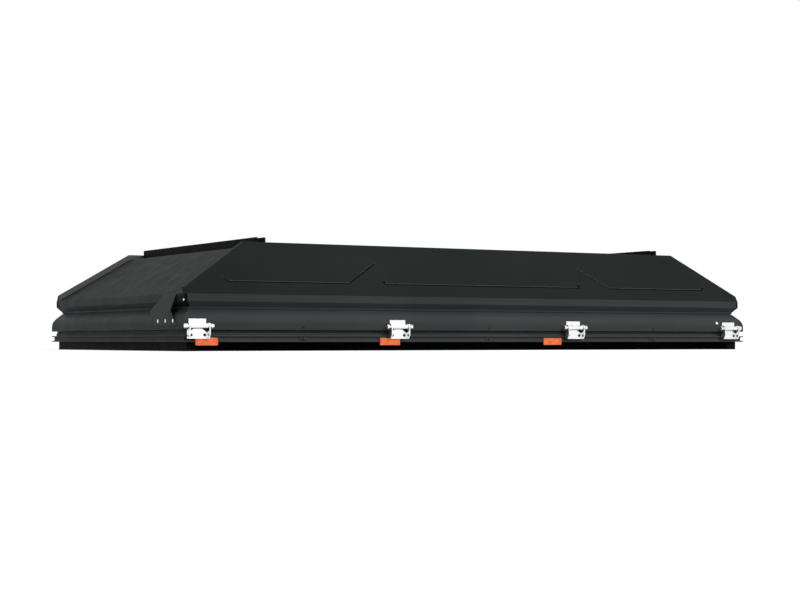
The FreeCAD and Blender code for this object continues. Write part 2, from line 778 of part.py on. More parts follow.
for number in range(hinge_count):
    share = number / (hinge_count - 1)
    hinge_x = hinge_first_x + (hinge_last_x - hinge_first_x) * share
    hinge_base("hinge_base_%d" % (number + 1), hinge_x)
    hinge_leaf("hinge_leaf_%d" % (number + 1), hinge_x)

# Side markers: three on each side, in front of the tray band.
marker_count = 3
marker_z = seam - size["marker_drop"] - size["marker_height"]
for name, low_y in (("right", -half_width - size["trim_gap"] - size["marker_thick"]),
                    ("left", half_width + size["trim_gap"])):
    blocks = []
    for number in range(marker_count):
        middle = size["marker_first"] + size["marker_pitch"] * number - half_length
        blocks.append(box("marker_%s_%d" % (name, number + 1),
                          middle - size["marker_length"] / 2, low_y, marker_z,
                          size["marker_length"], size["marker_thick"],
                          size["marker_height"]))
    markers = doc.addObject("Part::Compound", "side_markers_" + name)
    markers.Links = blocks
    done(markers)

# Latches on the opening side: a handled plate on the skirt, a strike below.
latch_height = size["latch_high"] - size["latch_low"]
for name, marker in (("front", marker_count - 1), ("rear", 0)):
    behind = size["marker_first"] + size["marker_pitch"] * marker - half_length
    middle = behind + size["latch_past_marker"]
    body = new_body("latch_" + name)
    plate = [(0, 0), (size["latch_length"], 0), (size["latch_length"], latch_height),
             (0, latch_height)]
    pad(body, "plate", draw(body, "plate_outline", "XZ_Plane", [plate]), size["latch_thick"])
    side_margin = (size["latch_length"] - size["handle_length"]) / 2
    margin = size["handle_margin"]
    handle = [
        (side_margin, margin),
        (side_margin + size["handle_length"], margin),
        (side_margin + size["handle_length"], latch_height - margin),
        (side_margin, latch_height - margin),
    ]
    pad(body, "handle", draw(body, "handle_outline", "XZ_Plane", [handle]),
        size["handle_thick"])
    # The plate grows towards its own -Y, so the body is turned to face +Y.
    place(body, middle + size["latch_length"] / 2, half_width, seam + size["latch_low"], 180)
    done(body)
    strike = box("latch_strike_" + name, middle - size["latch_length"] / 2, half_width,
                 tray_foot, size["latch_length"], size["latch_thick"],
                 size["strike_height"])
    done(strike)

# Foam mattress and the folded canvas bundles on the floor.
bed_foot = floor_top + size["soft_gap"]
bed_x = half_length - size["mattress_end_gap"]
done(box("mattress", -bed_x, size["mattress_side_gap"] - half_width, bed_foot,
         2 * bed_x,
         size["shell_width"] - size["mattress_side_gap"] - size["mattress_far_gap"],
         size["mattress_thick"]))
canvas_rise = seam + size["canvas_top"] - bed_foot
canvas_x = half_length - size["canvas_end_inset"]
canvas_y = half_width - size["canvas_side_inset"]
canvas_cross = 2 * canvas_y - size["canvas_thick"] - size["soft_gap"]
done(box("canvas_front", canvas_x - size["canvas_thick"], -canvas_y, bed_foot,
         size["canvas_thick"], canvas_cross, canvas_rise))
done(box("canvas_rear", -canvas_x, -canvas_y, bed_foot,
         size["canvas_thick"], canvas_cross, canvas_rise))
done(box("canvas_side", -canvas_x, canvas_y - size["canvas_thick"], bed_foot,
         2 * canvas_x, size["canvas_thick"], canvas_rise))

# Gas struts, one inside each end of the shell.  Each piece is drawn from its
# own pivot along +Y, with its eyes across X.
strut_span_y = size["strut_lid_y"] - size["strut_base_y"]
strut_span_z = size["strut_lid_rise"] - size["strut_base_rise"]
strut_closed = root(strut_span_y * strut_span_y + strut_span_z * strut_span_z)
strut_tilt = math.degrees(math.atan2(strut_span_z.value, strut_span_y.value))
eye_half = size["eye_thick"] / 2
bore_radius = size["rod_radius"] + size["rod_clear"]
stud_bore = size["stud_radius"] + size["stud_clear"]
STRUTS = (("front", 1), ("rear", -1))


def tilt(item, x, y, z):
    """Places a strut piece with its length along the strut."""
    place(item, x, y, z, strut_tilt, (1, 0, 0))
    item.setExpression("Placement.Rotation.Angle", "atan2(%s; %s)" % (
        strut_span_z.text, strut_span_y.text))


for name, end in STRUTS:
    plane_x = end * (half_length - size["strut_inset"])
    lower_z = seam + size["strut_base_rise"]
    body = new_body("strut_cylinder_" + name)
    pad(body, "eye", draw(body, "eye_outline", "YZ_Plane", [],
                          [(0, 0, size["eye_radius"])], -eye_half), size["eye_thick"])
    # The XZ plane faces -Y, so the tube starts at its far end and comes back.
    tube = draw(body, "tube_outline", "XZ_Plane", [], [(0, 0, size["strut_radius"])],
                -size["strut_body_length"])
    pad(body, "tube", tube, size["strut_body_length"] - size["tube_start"])
    neck = draw(body, "neck_outline", "XZ_Plane", [], [(0, 0, eye_half)],
                -(size["tube_start"] + overlap))
    pad(body, "neck", neck, size["tube_start"] - size["stud_radius"])
    rod_depth = size["rod_length"] + size["strut_body_length"] - strut_closed
    hole = draw(body, "bore_outline", "XZ_Plane", [], [(0, 0, bore_radius)],
                -(size["strut_body_length"] + overlap))
    cut_through(body, "bore", hole, True, rod_depth + size["bore_room"])
    stud_hole = draw(body, "stud_outline", "YZ_Plane", [], [(0, 0, stud_bore)],
                     -eye_half)
    cut_through(body, "stud_hole", stud_hole, backwards=True)
    tilt(body, plane_x, size["strut_base_y"], lower_z)
    done(body)

    body = new_body("strut_rod_" + name)
    pad(body, "eye", draw(body, "eye_outline", "YZ_Plane", [],
                          [(0, 0, size["eye_radius"])], -eye_half), size["eye_thick"])
    rod_start = stud_bore + overlap
    rod = draw(body, "rod_outline", "XZ_Plane", [], [(0, 0, size["rod_radius"])], rod_start)
    pad(body, "rod", rod, size["rod_length"] - rod_start)
    stud_hole = draw(body, "stud_outline", "YZ_Plane", [], [(0, 0, stud_bore)],
                     -eye_half)
    cut_through(body, "stud_hole", stud_hole, backwards=True)
    tilt(body, plane_x, size["strut_lid_y"], seam + size["strut_lid_rise"])
    done(body)

    # Lower bracket: a foot on the floor, a plate beside the lid, and a stud.
    # Drawn in the end's own frame, with +X from the end towards the middle.
    body = new_body("strut_bracket_" + name)
    plate_x = size["frame_depth"] + size["bracket_clear"]
    half_bracket = size["bracket_width"] / 2
    rise = seam + size["strut_base_rise"] - floor_top
    ear = size["bracket_ear"]
    face = [
        (-half_bracket, 0),
        (half_bracket, 0),
        (ear, rise),
        (0, rise + ear, ear, 1),
        (-ear, rise, ear, 1),
    ]
    pad(body, "plate", draw(body, "face", "YZ_Plane", [face], (), plate_x),
        size["bracket_thick"])
    foot = [(plate_x, -half_bracket), (plate_x + size["bracket_foot"], -half_bracket),
            (plate_x + size["bracket_foot"], half_bracket), (plate_x, half_bracket)]
    pad(body, "foot", draw(body, "foot_outline", "XY_Plane", [foot]),
        size["bracket_thick"])
    stud_reach = size["strut_inset"] + eye_half - plate_x
    stud = draw(body, "stud_outline", "YZ_Plane", [], [(0, rise, size["stud_radius"])],
                plate_x)
    pad(body, "stud", stud, stud_reach)
    place(body, end * half_length, size["strut_base_y"], floor_top, 180 if end > 0 else 0)
    done(body)

    # Upper bracket: a plate on the inside of the skirt with a short stud that
    # stops just before the rod's eye.
    body = new_body("strut_plate_" + name)
    half_plate = size["bracket_width"] / 2
    face = [(-half_plate, -half_plate), (half_plate, -half_plate),
            (half_plate, half_plate), (-half_plate, half_plate)]
    pad(body, "plate", draw(body, "face", "YZ_Plane", [face], (), size["frame_depth"]),
        size["bracket_thick"])
    upper_reach = size["strut_inset"] - eye_half - size["trim_gap"] * 2 - size["frame_depth"]
    stud = draw(body, "stud_outline", "YZ_Plane", [], [(0, 0, size["stud_radius"])],
                size["frame_depth"])
    pad(body, "stud", stud, upper_reach)
    place(body, end * half_length, size["strut_lid_y"], seam + size["strut_lid_rise"],
          180 if end > 0 else 0)
    done(body)


# Corner gussets on the end skirts, next to the hinge side: a flange on the
# foot of the skirt and a tapered plate leaning in to the lip.
gusset_thick = size["gusset_thick"]
gusset_profile = [
    (-gusset_thick, size["gusset_low"]),
    (0, size["gusset_low"]),
    (0, size["gusset_fold"]),
    (size["lip_inset"], size["skirt_height"]),
    (size["lip_inset"] - gusset_thick, size["skirt_height"]),
    (-gusset_thick, size["gusset_fold"]),
]
gusset_base = size["gusset_low"] - outline_margin
gusset_crest = size["skirt_height"] + outline_margin
near_cut = [
    (size["gusset_foot_near"] - outline_margin, gusset_base),
    (size["gusset_foot_near"], gusset_base),
    (size["gusset_foot_near"], size["gusset_low"]),
    (size["gusset_fold_near"], size["gusset_fold"]),
    (size["gusset_top_near"], size["skirt_height"]),
    (size["gusset_top_near"], gusset_crest),
    (size["gusset_foot_near"] - outline_margin, gusset_crest),
]
far_cut = [
    (size["gusset_foot_far"], gusset_base),
    (size["gusset_fold_far"] + outline_margin, gusset_base),
    (size["gusset_fold_far"] + outline_margin, gusset_crest),
    (size["gusset_top_far"], gusset_crest),
    (size["gusset_top_far"], size["skirt_height"]),
    (size["gusset_fold_far"], size["gusset_fold"]),
    (size["gusset_foot_far"], size["gusset_low"]),
]
gusset_run = size["gusset_fold_far"] - size["gusset_foot_near"]
for side in SIDES[2:]:
    name, width, turn, x, y = side
    body = new_body("gusset_" + name)
    cuts = [near_cut, far_cut]
    start = size["gusset_foot_near"]
    if name == "rear":
        cuts = [mirrored(outline, width) for outline in cuts]
        start = width - size["gusset_fold_far"]
    section = draw(body, "section", "YZ_Plane", [gusset_profile], (), start)
    pad(body, "run", section, gusset_run)
    # The cuts start outside the sheet, on the side that faces away.
    cut_through(body, "taper", draw(body, "tapers", "XZ_Plane", cuts, (), gusset_thick))
    place(body, x, y, seam, turn)
    done(body)

doc.recompute()
for item in doc.Objects:
    assert not {"Invalid", "Error"} & set(item.State), item.Label + " failed"
os.makedirs("parts", exist_ok=True)
for item in parts:
    shape = item.Shape
    assert not shape.isNull() and shape.isValid(), item.Label + " has no valid shape"
    shape.exportStep("parts/" + item.Label + ".step")
print(len(parts), "pieces written")
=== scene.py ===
import json
import math

import bmesh
import bpy
import numpy as np
from mathutils import Matrix, Vector


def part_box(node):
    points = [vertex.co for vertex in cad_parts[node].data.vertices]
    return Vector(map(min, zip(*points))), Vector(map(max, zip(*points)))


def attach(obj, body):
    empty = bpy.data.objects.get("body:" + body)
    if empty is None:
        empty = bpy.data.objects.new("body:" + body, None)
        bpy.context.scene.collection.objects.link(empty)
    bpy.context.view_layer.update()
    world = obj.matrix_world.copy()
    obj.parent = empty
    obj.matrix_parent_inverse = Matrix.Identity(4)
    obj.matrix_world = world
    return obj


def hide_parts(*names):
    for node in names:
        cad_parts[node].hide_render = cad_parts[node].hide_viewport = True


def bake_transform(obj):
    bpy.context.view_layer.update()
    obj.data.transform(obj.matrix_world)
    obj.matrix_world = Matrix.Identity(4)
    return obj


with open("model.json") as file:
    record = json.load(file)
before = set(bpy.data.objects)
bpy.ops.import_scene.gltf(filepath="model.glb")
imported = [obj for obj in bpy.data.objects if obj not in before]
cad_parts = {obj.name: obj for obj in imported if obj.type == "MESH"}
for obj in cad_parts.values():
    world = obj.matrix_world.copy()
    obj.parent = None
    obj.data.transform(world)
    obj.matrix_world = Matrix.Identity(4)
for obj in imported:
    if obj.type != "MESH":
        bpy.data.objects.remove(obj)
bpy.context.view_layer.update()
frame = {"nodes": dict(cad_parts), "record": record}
cadNodes = frame["nodes"]
bodies = frame["record"]["behaviour"]["bodies"]
bodyOf = {node: body for body, names in bodies.items() for node in names}
scene = bpy.context.scene
scene.view_settings.view_transform = "Standard"
print("frame loaded,", len(cadNodes), "nodes")


# Colours are written as they look on screen, 0 to 255.
def tone(red, green, blue):
    levels = []
    for level in (red / 255, green / 255, blue / 255):
        levels.append(level / 12.92 if level <= 0.04045 else ((level + 0.055) / 1.055) ** 2.4)
    return (*levels, 1.0)


class Finish:
    # one material: its shader, and short ways to add the nodes that vary it
    def __init__(self, name):
        self.material = bpy.data.materials.new(name)
        self.material.use_nodes = True
        self.tree = self.material.node_tree
        self.tree.nodes.clear()
        self.shader = self.tree.nodes.new("ShaderNodeBsdfPrincipled")
        output = self.tree.nodes.new("ShaderNodeOutputMaterial")
        self.tree.links.new(self.shader.outputs["BSDF"], output.inputs["Surface"])
        self.place = self.tree.nodes.new("ShaderNodeTexCoord")

    def join(self, socket, value):
        if isinstance(value, bpy.types.NodeSocket):
            self.tree.links.new(value, socket)
        else:
            socket.default_value = value

    def add(self, kind, **inputs):
        # a node whose inputs are set or linked; _ stands for the space in a name
        node = self.tree.nodes.new(kind)
        for name, value in inputs.items():
            self.join(node.inputs[name.replace("_", " ")], value)
        return node

    def fixed(self, **inputs):
        for name, value in inputs.items():
            self.join(self.shader.inputs[name.replace("_", " ")], value)

    def varied(self, name, output):
        self.join(self.shader.inputs[name], output)

    def where(self, stretch=(1, 1, 1), source="Object"):
        return self.add("ShaderNodeMapping", Scale=stretch, Vector=self.place.outputs[source]).outputs["Vector"]

    def noise(self, vector, scale, detail=3.0, roughness=0.55):
        return self.add("ShaderNodeTexNoise", Scale=scale, Detail=detail, Roughness=roughness,
                        Vector=vector).outputs["Fac"]

    def cells(self, vector, scale, feature="F1"):
        node = self.add("ShaderNodeTexVoronoi", Scale=scale, Vector=vector)
        node.feature = feature
        return node.outputs["Distance"]

    def bands(self, vector, scale, direction="X", profile="SIN"):
        node = self.add("ShaderNodeTexWave", Scale=scale, Vector=vector)
        node.bands_direction = direction
        node.wave_profile = profile
        return node.outputs["Fac"]

    def sums(self, operation, first, second=0.5):
        node = self.add("ShaderNodeMath")
        node.operation = operation
        for socket, value in zip(node.inputs, (first, second)):
            self.join(socket, value)
        return node.outputs["Value"]

    def mixed(self, first, second, share):
        return self.sums("ADD", self.sums("MULTIPLY", first, 1 - share), self.sums("MULTIPLY", second, share))

    def spread(self, output, low, high, fromLow=0.3, fromHigh=0.7):
        return self.add("ShaderNodeMapRange", Value=output, From_Min=fromLow, From_Max=fromHigh,
                        To_Min=low, To_Max=high).outputs["Result"]

    def edgeDistance(self, vector, centre, half, corner):
        # distance from the edge of a rounded rectangle, less than 0 inside it; the third
        # coordinate is taken far below 0, so that it drops out
        below = 10
        steps = (("SUBTRACT", (*centre, 0)), ("ABSOLUTE", None),
                 ("SUBTRACT", (half[0] - corner, half[1] - corner, below)),
                 ("MAXIMUM", (0, 0, 0)), ("LENGTH", None))
        for operation, value in steps:
            node = self.add("ShaderNodeVectorMath")
            node.operation = operation
            self.join(node.inputs[0], vector)
            if value:
                node.inputs[1].default_value = value
            vector = [output for output in node.outputs if output.enabled][0]
        return self.sums("SUBTRACT", vector, corner)

    def within(self, distance, reach):
        # 1 where the distance from a line is under reach
        return self.sums("LESS_THAN", self.sums("ABSOLUTE", distance), reach)

    def ramp(self, output, stops):
        node = self.add("ShaderNodeValToRGB", Fac=output)
        steps = node.color_ramp.elements
        while len(steps) < len(stops):
            steps.new(0.5)
        for step, (position, colour) in zip(steps, stops):
            step.position, step.color = position, colour
        return node.outputs["Color"]

    def blendColours(self, factor, first, second):
        node = self.add("ShaderNodeMix", Factor=factor)
        node.data_type = "RGBA"
        for name, value in (("A", first), ("B", second)):
            self.join([s for s in node.inputs if s.name == name and s.type == "RGBA"][0], value)
        return [s for s in node.outputs if s.type == "RGBA"][0]

    def relief(self, *layers):
        # each layer is (height, strength, distance in metres)
        last = None
        for height, strength, distance in layers:
            node = self.add("ShaderNodeBump", Strength=strength, Distance=distance, Height=height)
            if last:
                self.join(node.inputs["Normal"], last)
            last = node.outputs["Normal"]
        self.varied("Normal", last)


def powderCoat(name, dark, light, roughness, grain, speckle=0.25, gloss=0.25):
    finish = Finish(name)
    finish.fixed(Specular_IOR_Level=gloss)
    vector = finish.where()
    broad = finish.noise(vector, 2.6, 5)
    fine = finish.noise(vector, grain, 2, 0.7)
    dust = finish.noise(finish.where((1, 1, 0.35)), 19, 6, 0.65)
    mixed = finish.mixed(broad, fine, speckle)
    finish.varied("Base Color", finish.ramp(mixed, ((0.34, dark), (0.66, light))))
    finish.varied("Roughness", finish.spread(dust, roughness - 0.06, roughness + 0.08))
    finish.relief((fine, 0.18, 0.00012), (finish.noise(vector, grain * 0.18, 3), 0.05, 0.0006))
    return finish


def linedPanel(name, dark, light, lining, liningLight):
    # coated sheet outside; the faces that look down into the tent carry a felt lining
    finish = powderCoat(name, dark, light, roughness=0.5, grain=1400, gloss=0.012)
    vector = finish.where()
    split = finish.add("ShaderNodeSeparateXYZ", Vector=finish.place.outputs["Normal"])
    inside = finish.sums("LESS_THAN", split.outputs["Z"], -0.2)
    felt = finish.noise(vector, 420, 6, 0.8)
    outside = finish.shader.inputs["Base Color"].links[0].from_socket
    # painted shade keeps the pressed beads darker than the sheet round them
    beadShade = finish.add("ShaderNodeAttribute")
    beadShade.attribute_name = "beadShade"
    outside = finish.blendColours(beadShade.outputs["Fac"], outside, tone(15, 17, 17))
    feltColour = finish.ramp(felt, ((0.3, lining), (0.7, liningLight)))
    finish.varied("Base Color", finish.blendColours(inside, outside, feltColour))
    sheen = finish.shader.inputs["Roughness"].links[0].from_socket
    finish.varied("Roughness", finish.sums("MAXIMUM", sheen, finish.sums("MULTIPLY", inside, 0.95)))
    return finish


def brushedSteel(name, colour, roughness, along=(60, 900, 900)):
    finish = Finish(name)
    lines = finish.noise(finish.where(along), 1.0, 4, 0.7)
    smear = finish.noise(finish.where(), 60, 4)
    finish.fixed(Base_Color=colour, Metallic=1.0)
    finish.varied("Roughness", finish.spread(smear, roughness - 0.06, roughness + 0.1))
    finish.relief((lines, 0.25, 0.00008))
    return finish


def drawnAluminium(name, dark, light, roughness):
    # coated extrusion, a little glossier than the folded sheets
    return powderCoat(name, dark, light, roughness, grain=1100, speckle=0.2, gloss=0.016)


def mouldedPlastic(name, dark, light, roughness):
    finish = Finish(name)
    vector = finish.where()
    grain = finish.cells(vector, 900)
    finish.varied("Base Color", finish.ramp(finish.noise(vector, 40, 4), ((0.35, dark), (0.65, light))))
    smear = finish.noise(vector, 120)
    finish.varied("Roughness", finish.spread(smear, roughness - 0.05, roughness + 0.08))
    finish.fixed(Specular_IOR_Level=0.02)
    finish.relief((grain, 0.2, 0.0002))
    return finish


def amberLens(name):
    finish = Finish(name)
    vector = finish.where()
    glow = finish.noise(vector, 55, 2)
    deep, bright = tone(226, 84, 14), tone(246, 120, 40)
    finish.varied("Base Color", finish.ramp(glow, ((0.35, deep), (0.65, bright))))
    finish.fixed(Roughness=0.16, IOR=1.49, Coat_Weight=0.6, Coat_Roughness=0.05,
                 Emission_Color=tone(255, 110, 30), Emission_Strength=0.12)
    finish.relief((finish.cells(vector, 500), 0.2, 0.0003))
    return finish


def sealRubber(name):
    finish = Finish(name)
    vector = finish.where()
    cloud = finish.noise(vector, 25, 5)
    finish.varied("Base Color", finish.ramp(cloud, ((0.35, tone(14, 15, 15)), (0.65, tone(24, 25, 26)))))
    finish.varied("Roughness", finish.spread(finish.noise(vector, 90), 0.66, 0.86))
    finish.relief((finish.noise(vector, 800, 2), 0.4, 0.0003))
    return finish


def floorLaminate(name):
    # pale sheet with an embossed comb pattern
    finish = Finish(name)
    vector = finish.where()
    comb = finish.cells(finish.where((1, 1, 0.02)), 150, "DISTANCE_TO_EDGE")
    ridge = finish.spread(comb, 1.0, 0.0, 0.02, 0.16)
    broad = finish.noise(vector, 3.5, 5)
    base = finish.ramp(broad, ((0.35, tone(176, 179, 178)), (0.65, tone(196, 198, 196))))
    finish.varied("Base Color", finish.blendColours(ridge, base, tone(158, 162, 162)))
    finish.varied("Roughness", finish.spread(finish.noise(vector, 30), 0.42, 0.6))
    finish.relief((comb, 0.4, 0.0006))
    return finish


def coverCloth(name, dark, light):
    # knitted mattress cover, on Object coordinates
    finish = Finish(name)
    vector = finish.where()
    across = finish.bands(vector, 260, "X")
    along = finish.bands(vector, 260, "Y")
    knit = finish.sums("MULTIPLY", across, along)
    heather = finish.noise(vector, 160, 5, 0.75)
    finish.varied("Base Color", finish.ramp(finish.mixed(heather, knit, 0.3), ((0.25, dark), (0.62, light))))
    finish.fixed(Roughness=0.92, Sheen_Weight=0.35, Sheen_Roughness=0.5)
    finish.relief((knit, 0.5, 0.0006), (finish.noise(vector, 22, 4), 0.3, 0.003))
    return finish


# Openings sewn into the canvas: centre, half size and corner radius in metres. On the ends they
# are placed by the open tent's y and z, on the long wall by the run along it and the height up it.
openingPlan = {
    "endWindow": ((0.03, 0.43), (0.17, 0.14), 0.045),
    "door": ((10, 0.64), (0.62, 0.44), 0.12),
    "doorWindow": ((10, 0.68), (0.44, 0.22), 0.05),
    "hem": 0.022, "tape": 0.016, "teeth": 0.003,
    "seam": 0.017, "thread": 0.0012, "stitchScale": 55, "relief": 0.0012,
}


def wovenCanvas(name, dark, light, thread):
    # rip-stop weave on the sheet's own UV map, one unit to a metre, with mesh windows and zips
    finish = Finish(name)
    vector = finish.where(source="UV")

    def crossed(scale, profile="SIN"):
        return finish.sums("MAXIMUM", *(finish.bands(vector, scale, way, profile) for way in "XY"))

    weave, squares = crossed(420), crossed(20, "SAW")
    ripstop = finish.sums("GREATER_THAN", squares, 0.93)
    cloud = finish.noise(finish.where(), 5, 6, 0.7)
    base = finish.ramp(cloud, ((0.3, dark), (0.7, light)))
    colour = finish.blendColours(finish.sums("MULTIPLY", ripstop, 0.5), base, thread)
    endWindow, door, doorWindow = (finish.edgeDistance(vector, *openingPlan[key])
                                   for key in ("endWindow", "door", "doorWindow"))
    window = finish.sums("MINIMUM", endWindow, doorWindow)
    hem = finish.within(window, openingPlan["hem"])
    seam = finish.within(finish.sums("ADD", window, -openingPlan["seam"]), openingPlan["thread"])
    stitches = finish.sums("MULTIPLY", seam, finish.bands(vector, openingPlan["stitchScale"], "DIAGONAL"))
    netColour = finish.ramp(crossed(160), ((0.5, tone(20, 21, 22)), (0.95, tone(52, 54, 55))))
    tape = finish.within(door, openingPlan["tape"] / 2)
    teeth = finish.within(door, openingPlan["teeth"] / 2)
    mesh = finish.sums("LESS_THAN", window, 0.0)
    colour = finish.blendColours(hem, colour, tone(92, 92, 82))
    colour = finish.blendColours(stitches, colour, tone(168, 166, 150))
    colour = finish.blendColours(mesh, colour, netColour)
    colour = finish.blendColours(tape, colour, tone(34, 35, 36))
    finish.varied("Base Color", finish.blendColours(teeth, colour, tone(92, 93, 94)))
    finish.fixed(Roughness=0.9, Sheen_Weight=0.2)
    trim, cloth = finish.sums("MAXIMUM", hem, tape), finish.sums("SUBTRACT", 1.0, mesh)
    finish.relief((weave, 0.4, 0.0004), (ripstop, 0.3, 0.0003),
                  (trim, 0.6, openingPlan["relief"]), (cloth, 0.5, openingPlan["relief"]))
    return finish


finishes = {
    "panel_coat": linedPanel("panelCoat", tone(31, 36, 35), tone(36, 41, 40),
                             tone(112, 114, 114), tone(134, 136, 136)),
    "shell_coat": drawnAluminium("shellCoat", tone(56, 61, 61), tone(63, 68, 68), roughness=0.42),
    "tray_coat": drawnAluminium("trayCoat", tone(64, 69, 69), tone(73, 77, 77), roughness=0.45),
    "black_coat": powderCoat("blackCoat", tone(18, 19, 19), tone(25, 26, 26),
                             roughness=0.5, grain=1300, gloss=0.012),
    "stainless": brushedSteel("stainless", (0.86, 0.87, 0.87, 1.0), roughness=0.26),
    "amber": amberLens("amberLens"),
    "seal_rubber": sealRubber("sealRubber"),
    "floor_laminate": floorLaminate("floorLaminate"),
    "mattress_cloth": coverCloth("coverCloth", tone(96, 100, 104), tone(142, 145, 148)),
    "canvas": wovenCanvas("wovenCanvas", tone(112, 112, 98), tone(134, 133, 117), tone(150, 148, 132)),
    "strut_black": powderCoat("strutPaint", tone(15, 15, 16), tone(22, 22, 23), roughness=0.28, grain=500),
    "rod_steel": brushedSteel("rodSteel", (0.74, 0.75, 0.76, 1.0), roughness=0.14, along=(900, 40, 900)),
}
gussetCoat = powderCoat("gussetCoat", tone(58, 61, 62), tone(67, 70, 70),
                        roughness=0.45, grain=1200, gloss=0.03).material
# painted shade: the rails under the tray get a near-black coat in place of their tray coat
shadedRailCoat = powderCoat("shadedRailCoat", tone(18, 19, 19), tone(25, 26, 26),
                      roughness=0.5, grain=1300, gloss=0.012).material
blackBolt = powderCoat("blackBolt", tone(16, 17, 17), tone(26, 27, 27), roughness=0.36, grain=900).material
steelBolt = brushedSteel("steelBolt", (0.82, 0.82, 0.81, 1.0), roughness=0.3, along=(300, 300, 300)).material
capPlastic = mouldedPlastic("capPlastic", tone(12, 13, 13), tone(19, 20, 20), roughness=0.5).material
pipingCloth = coverCloth("pipingCloth", tone(44, 46, 48), tone(66, 68, 70)).material
print("finishes made")


def paint(piece, material):
    piece.data.materials.clear()
    piece.data.materials.append(material)


def smoothed(mesh, degrees):
    mesh.shade_smooth()
    mesh.set_sharp_from_angle(angle=math.radians(degrees))


def placed(name, data):
    item = bpy.data.objects.new(name, data)
    scene.collection.objects.link(item)
    return item


def meshOf(shape, name):
    # takes the shape out of a bmesh and frees it
    mesh = bpy.data.meshes.new(name)
    shape.to_mesh(mesh)
    shape.free()
    return mesh


def rowsOf(items, field):
    # a vector field of a mesh's points or faces, one to a row
    values = np.zeros(len(items) * 3)
    items.foreach_get(field, values)
    return values.reshape(-1, 3)


def newPiece(name, mesh, material, body):
    piece = placed(name, mesh)
    paint(piece, material)
    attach(piece, body)
    return piece


def builtMesh(piece, name):
    depsgraph = bpy.context.evaluated_depsgraph_get()
    mesh = bpy.data.meshes.new_from_object(piece.evaluated_get(depsgraph))
    mesh.name = name
    bpy.data.objects.remove(piece)
    return mesh


def grownMesh(carrier, tree, values, name):
    # runs a node tree on an object, then keeps only the finished mesh
    modifier = carrier.modifiers.new(tree.name, "NODES")
    modifier.node_group = tree
    for item in tree.interface.items_tree:
        if item.item_type == "SOCKET" and item.in_out == "INPUT" and item.name in values:
            modifier[item.identifier] = values[item.name]
    return builtMesh(carrier, name)


def startedTree(name, made, inputs):
    # a node tree with its sockets, and short ways to add nodes and links
    tree = bpy.data.node_groups.new(name, "GeometryNodeTree")
    for label, kind in inputs.items():
        tree.interface.new_socket(label, in_out="INPUT", socket_type="NodeSocket" + kind)
    tree.interface.new_socket(made, in_out="OUTPUT", socket_type="NodeSocketGeometry")
    return tree, tree.nodes.new, tree.links.new


# Rigid nodes keep their shape and get small rounded edges that catch the light.
edgeWork = (
    # start of the node's name, material slot, rounding in metres
    ("tray_", "tray_coat", 0.0009),
    ("skirt_", "shell_coat", 0.0011),
    ("side_panel_", "panel_coat", 0.0013),
    ("end_panel_", "panel_coat", 0.0013),
    ("roof_flat", "panel_coat", 0.0012),
    ("roof_channel_", "black_coat", 0.0008),
    ("gusset_", "panel_coat", 0.0007),
    ("hinge_base_", "stainless", 0.0006),
    ("hinge_leaf_", "stainless", 0.0007),
    ("latch_strike_", "black_coat", 0.0007),
    ("latch_", "black_coat", 0.0009),
    ("mount_rail_", "tray_coat", 0.0007),
    ("cross_rail_", "tray_coat", 0.0007),
    ("floor_panel", "floor_laminate", 0.0008),
    ("seal", "seal_rubber", 0.0016),
    ("strut_cylinder_", "strut_black", 0.0006),
    ("strut_rod_", "rod_steel", 0.0005),
    ("strut_bracket_", "stainless", 0.0006),
    ("strut_plate_", "stainless", 0.0006),
)
# nodes whose coat is darker or lighter than the rest of their slot; the rails' near-black coat is painted
# shade, the shade under the tray
ownCoats = {"gusset_": gussetCoat, "mount_rail_": shadedRailCoat, "cross_rail_": shadedRailCoat}


rounding = {"merge": 0.00001, "flat": 0.6, "sharp": 28, "segments": 2, "profile": 0.6, "smooth": 40,
            "weight": 100, "plugSides": 24}


def rounded(shape, edges, width):
    bmesh.ops.bevel(shape, geom=edges, offset=width, offset_type="OFFSET", segments=rounding["segments"],
                    profile=rounding["profile"], affect="EDGES", clamp_overlap=True)


def sunkHoles(name, holes, radius, depth):
    # short plugs that a Boolean takes out of a face, for screws that lie flush
    shape = bmesh.new()
    for place, facing in holes:
        turn = Vector(facing).to_track_quat("Z", "Y").to_matrix().to_4x4()
        bmesh.ops.create_cone(shape, cap_ends=True, segments=rounding["plugSides"], radius1=radius,
                              radius2=radius, depth=2 * depth, matrix=Matrix.Translation(place) @ turn)
    return placed(name, meshOf(shape, name))


def roundedCopy(node, slot, width, plugs):
    shape = bmesh.new()
    shape.from_mesh(cadNodes[node].data)
    bmesh.ops.remove_doubles(shape, verts=shape.verts, dist=rounding["merge"])
    bmesh.ops.dissolve_limit(shape, angle_limit=math.radians(rounding["flat"]),
                             verts=shape.verts, edges=shape.edges)
    rounded(shape, [edge for edge in shape.edges if edge.is_manifold
                    and edge.calc_face_angle(0) > math.radians(rounding["sharp"])], width)
    bmesh.ops.triangulate(shape, faces=[face for face in shape.faces if len(face.verts) > 4])
    mesh = meshOf(shape, node + "_rounded")
    carrier = placed(node + "_carrier", mesh)
    if plugs:
        recess = carrier.modifiers.new("recess", "BOOLEAN")
        recess.operation = "DIFFERENCE"
        recess.solver = "EXACT"
        recess.object = plugs
        mesh = builtMesh(carrier, node + "_cut")
        bpy.data.objects.remove(plugs)
        carrier = placed(node + "_carrier", mesh)
    smoothed(mesh, rounding["smooth"])
    even = carrier.modifiers.new("even", "WEIGHTED_NORMAL")
    even.mode = "FACE_AREA"
    even.weight = rounding["weight"]
    even.keep_sharp = True
    mesh = builtMesh(carrier, node + "_rounded")
    if node.startswith("side_panel_"):
        markBeadShade(mesh)
    own = [coat for start, coat in ownCoats.items() if node.startswith(start)]
    material = own[0] if own else finishes[slot].material
    piece = newPiece(node + "_rounded", mesh, material, bodyOf[node])
    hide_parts(node)
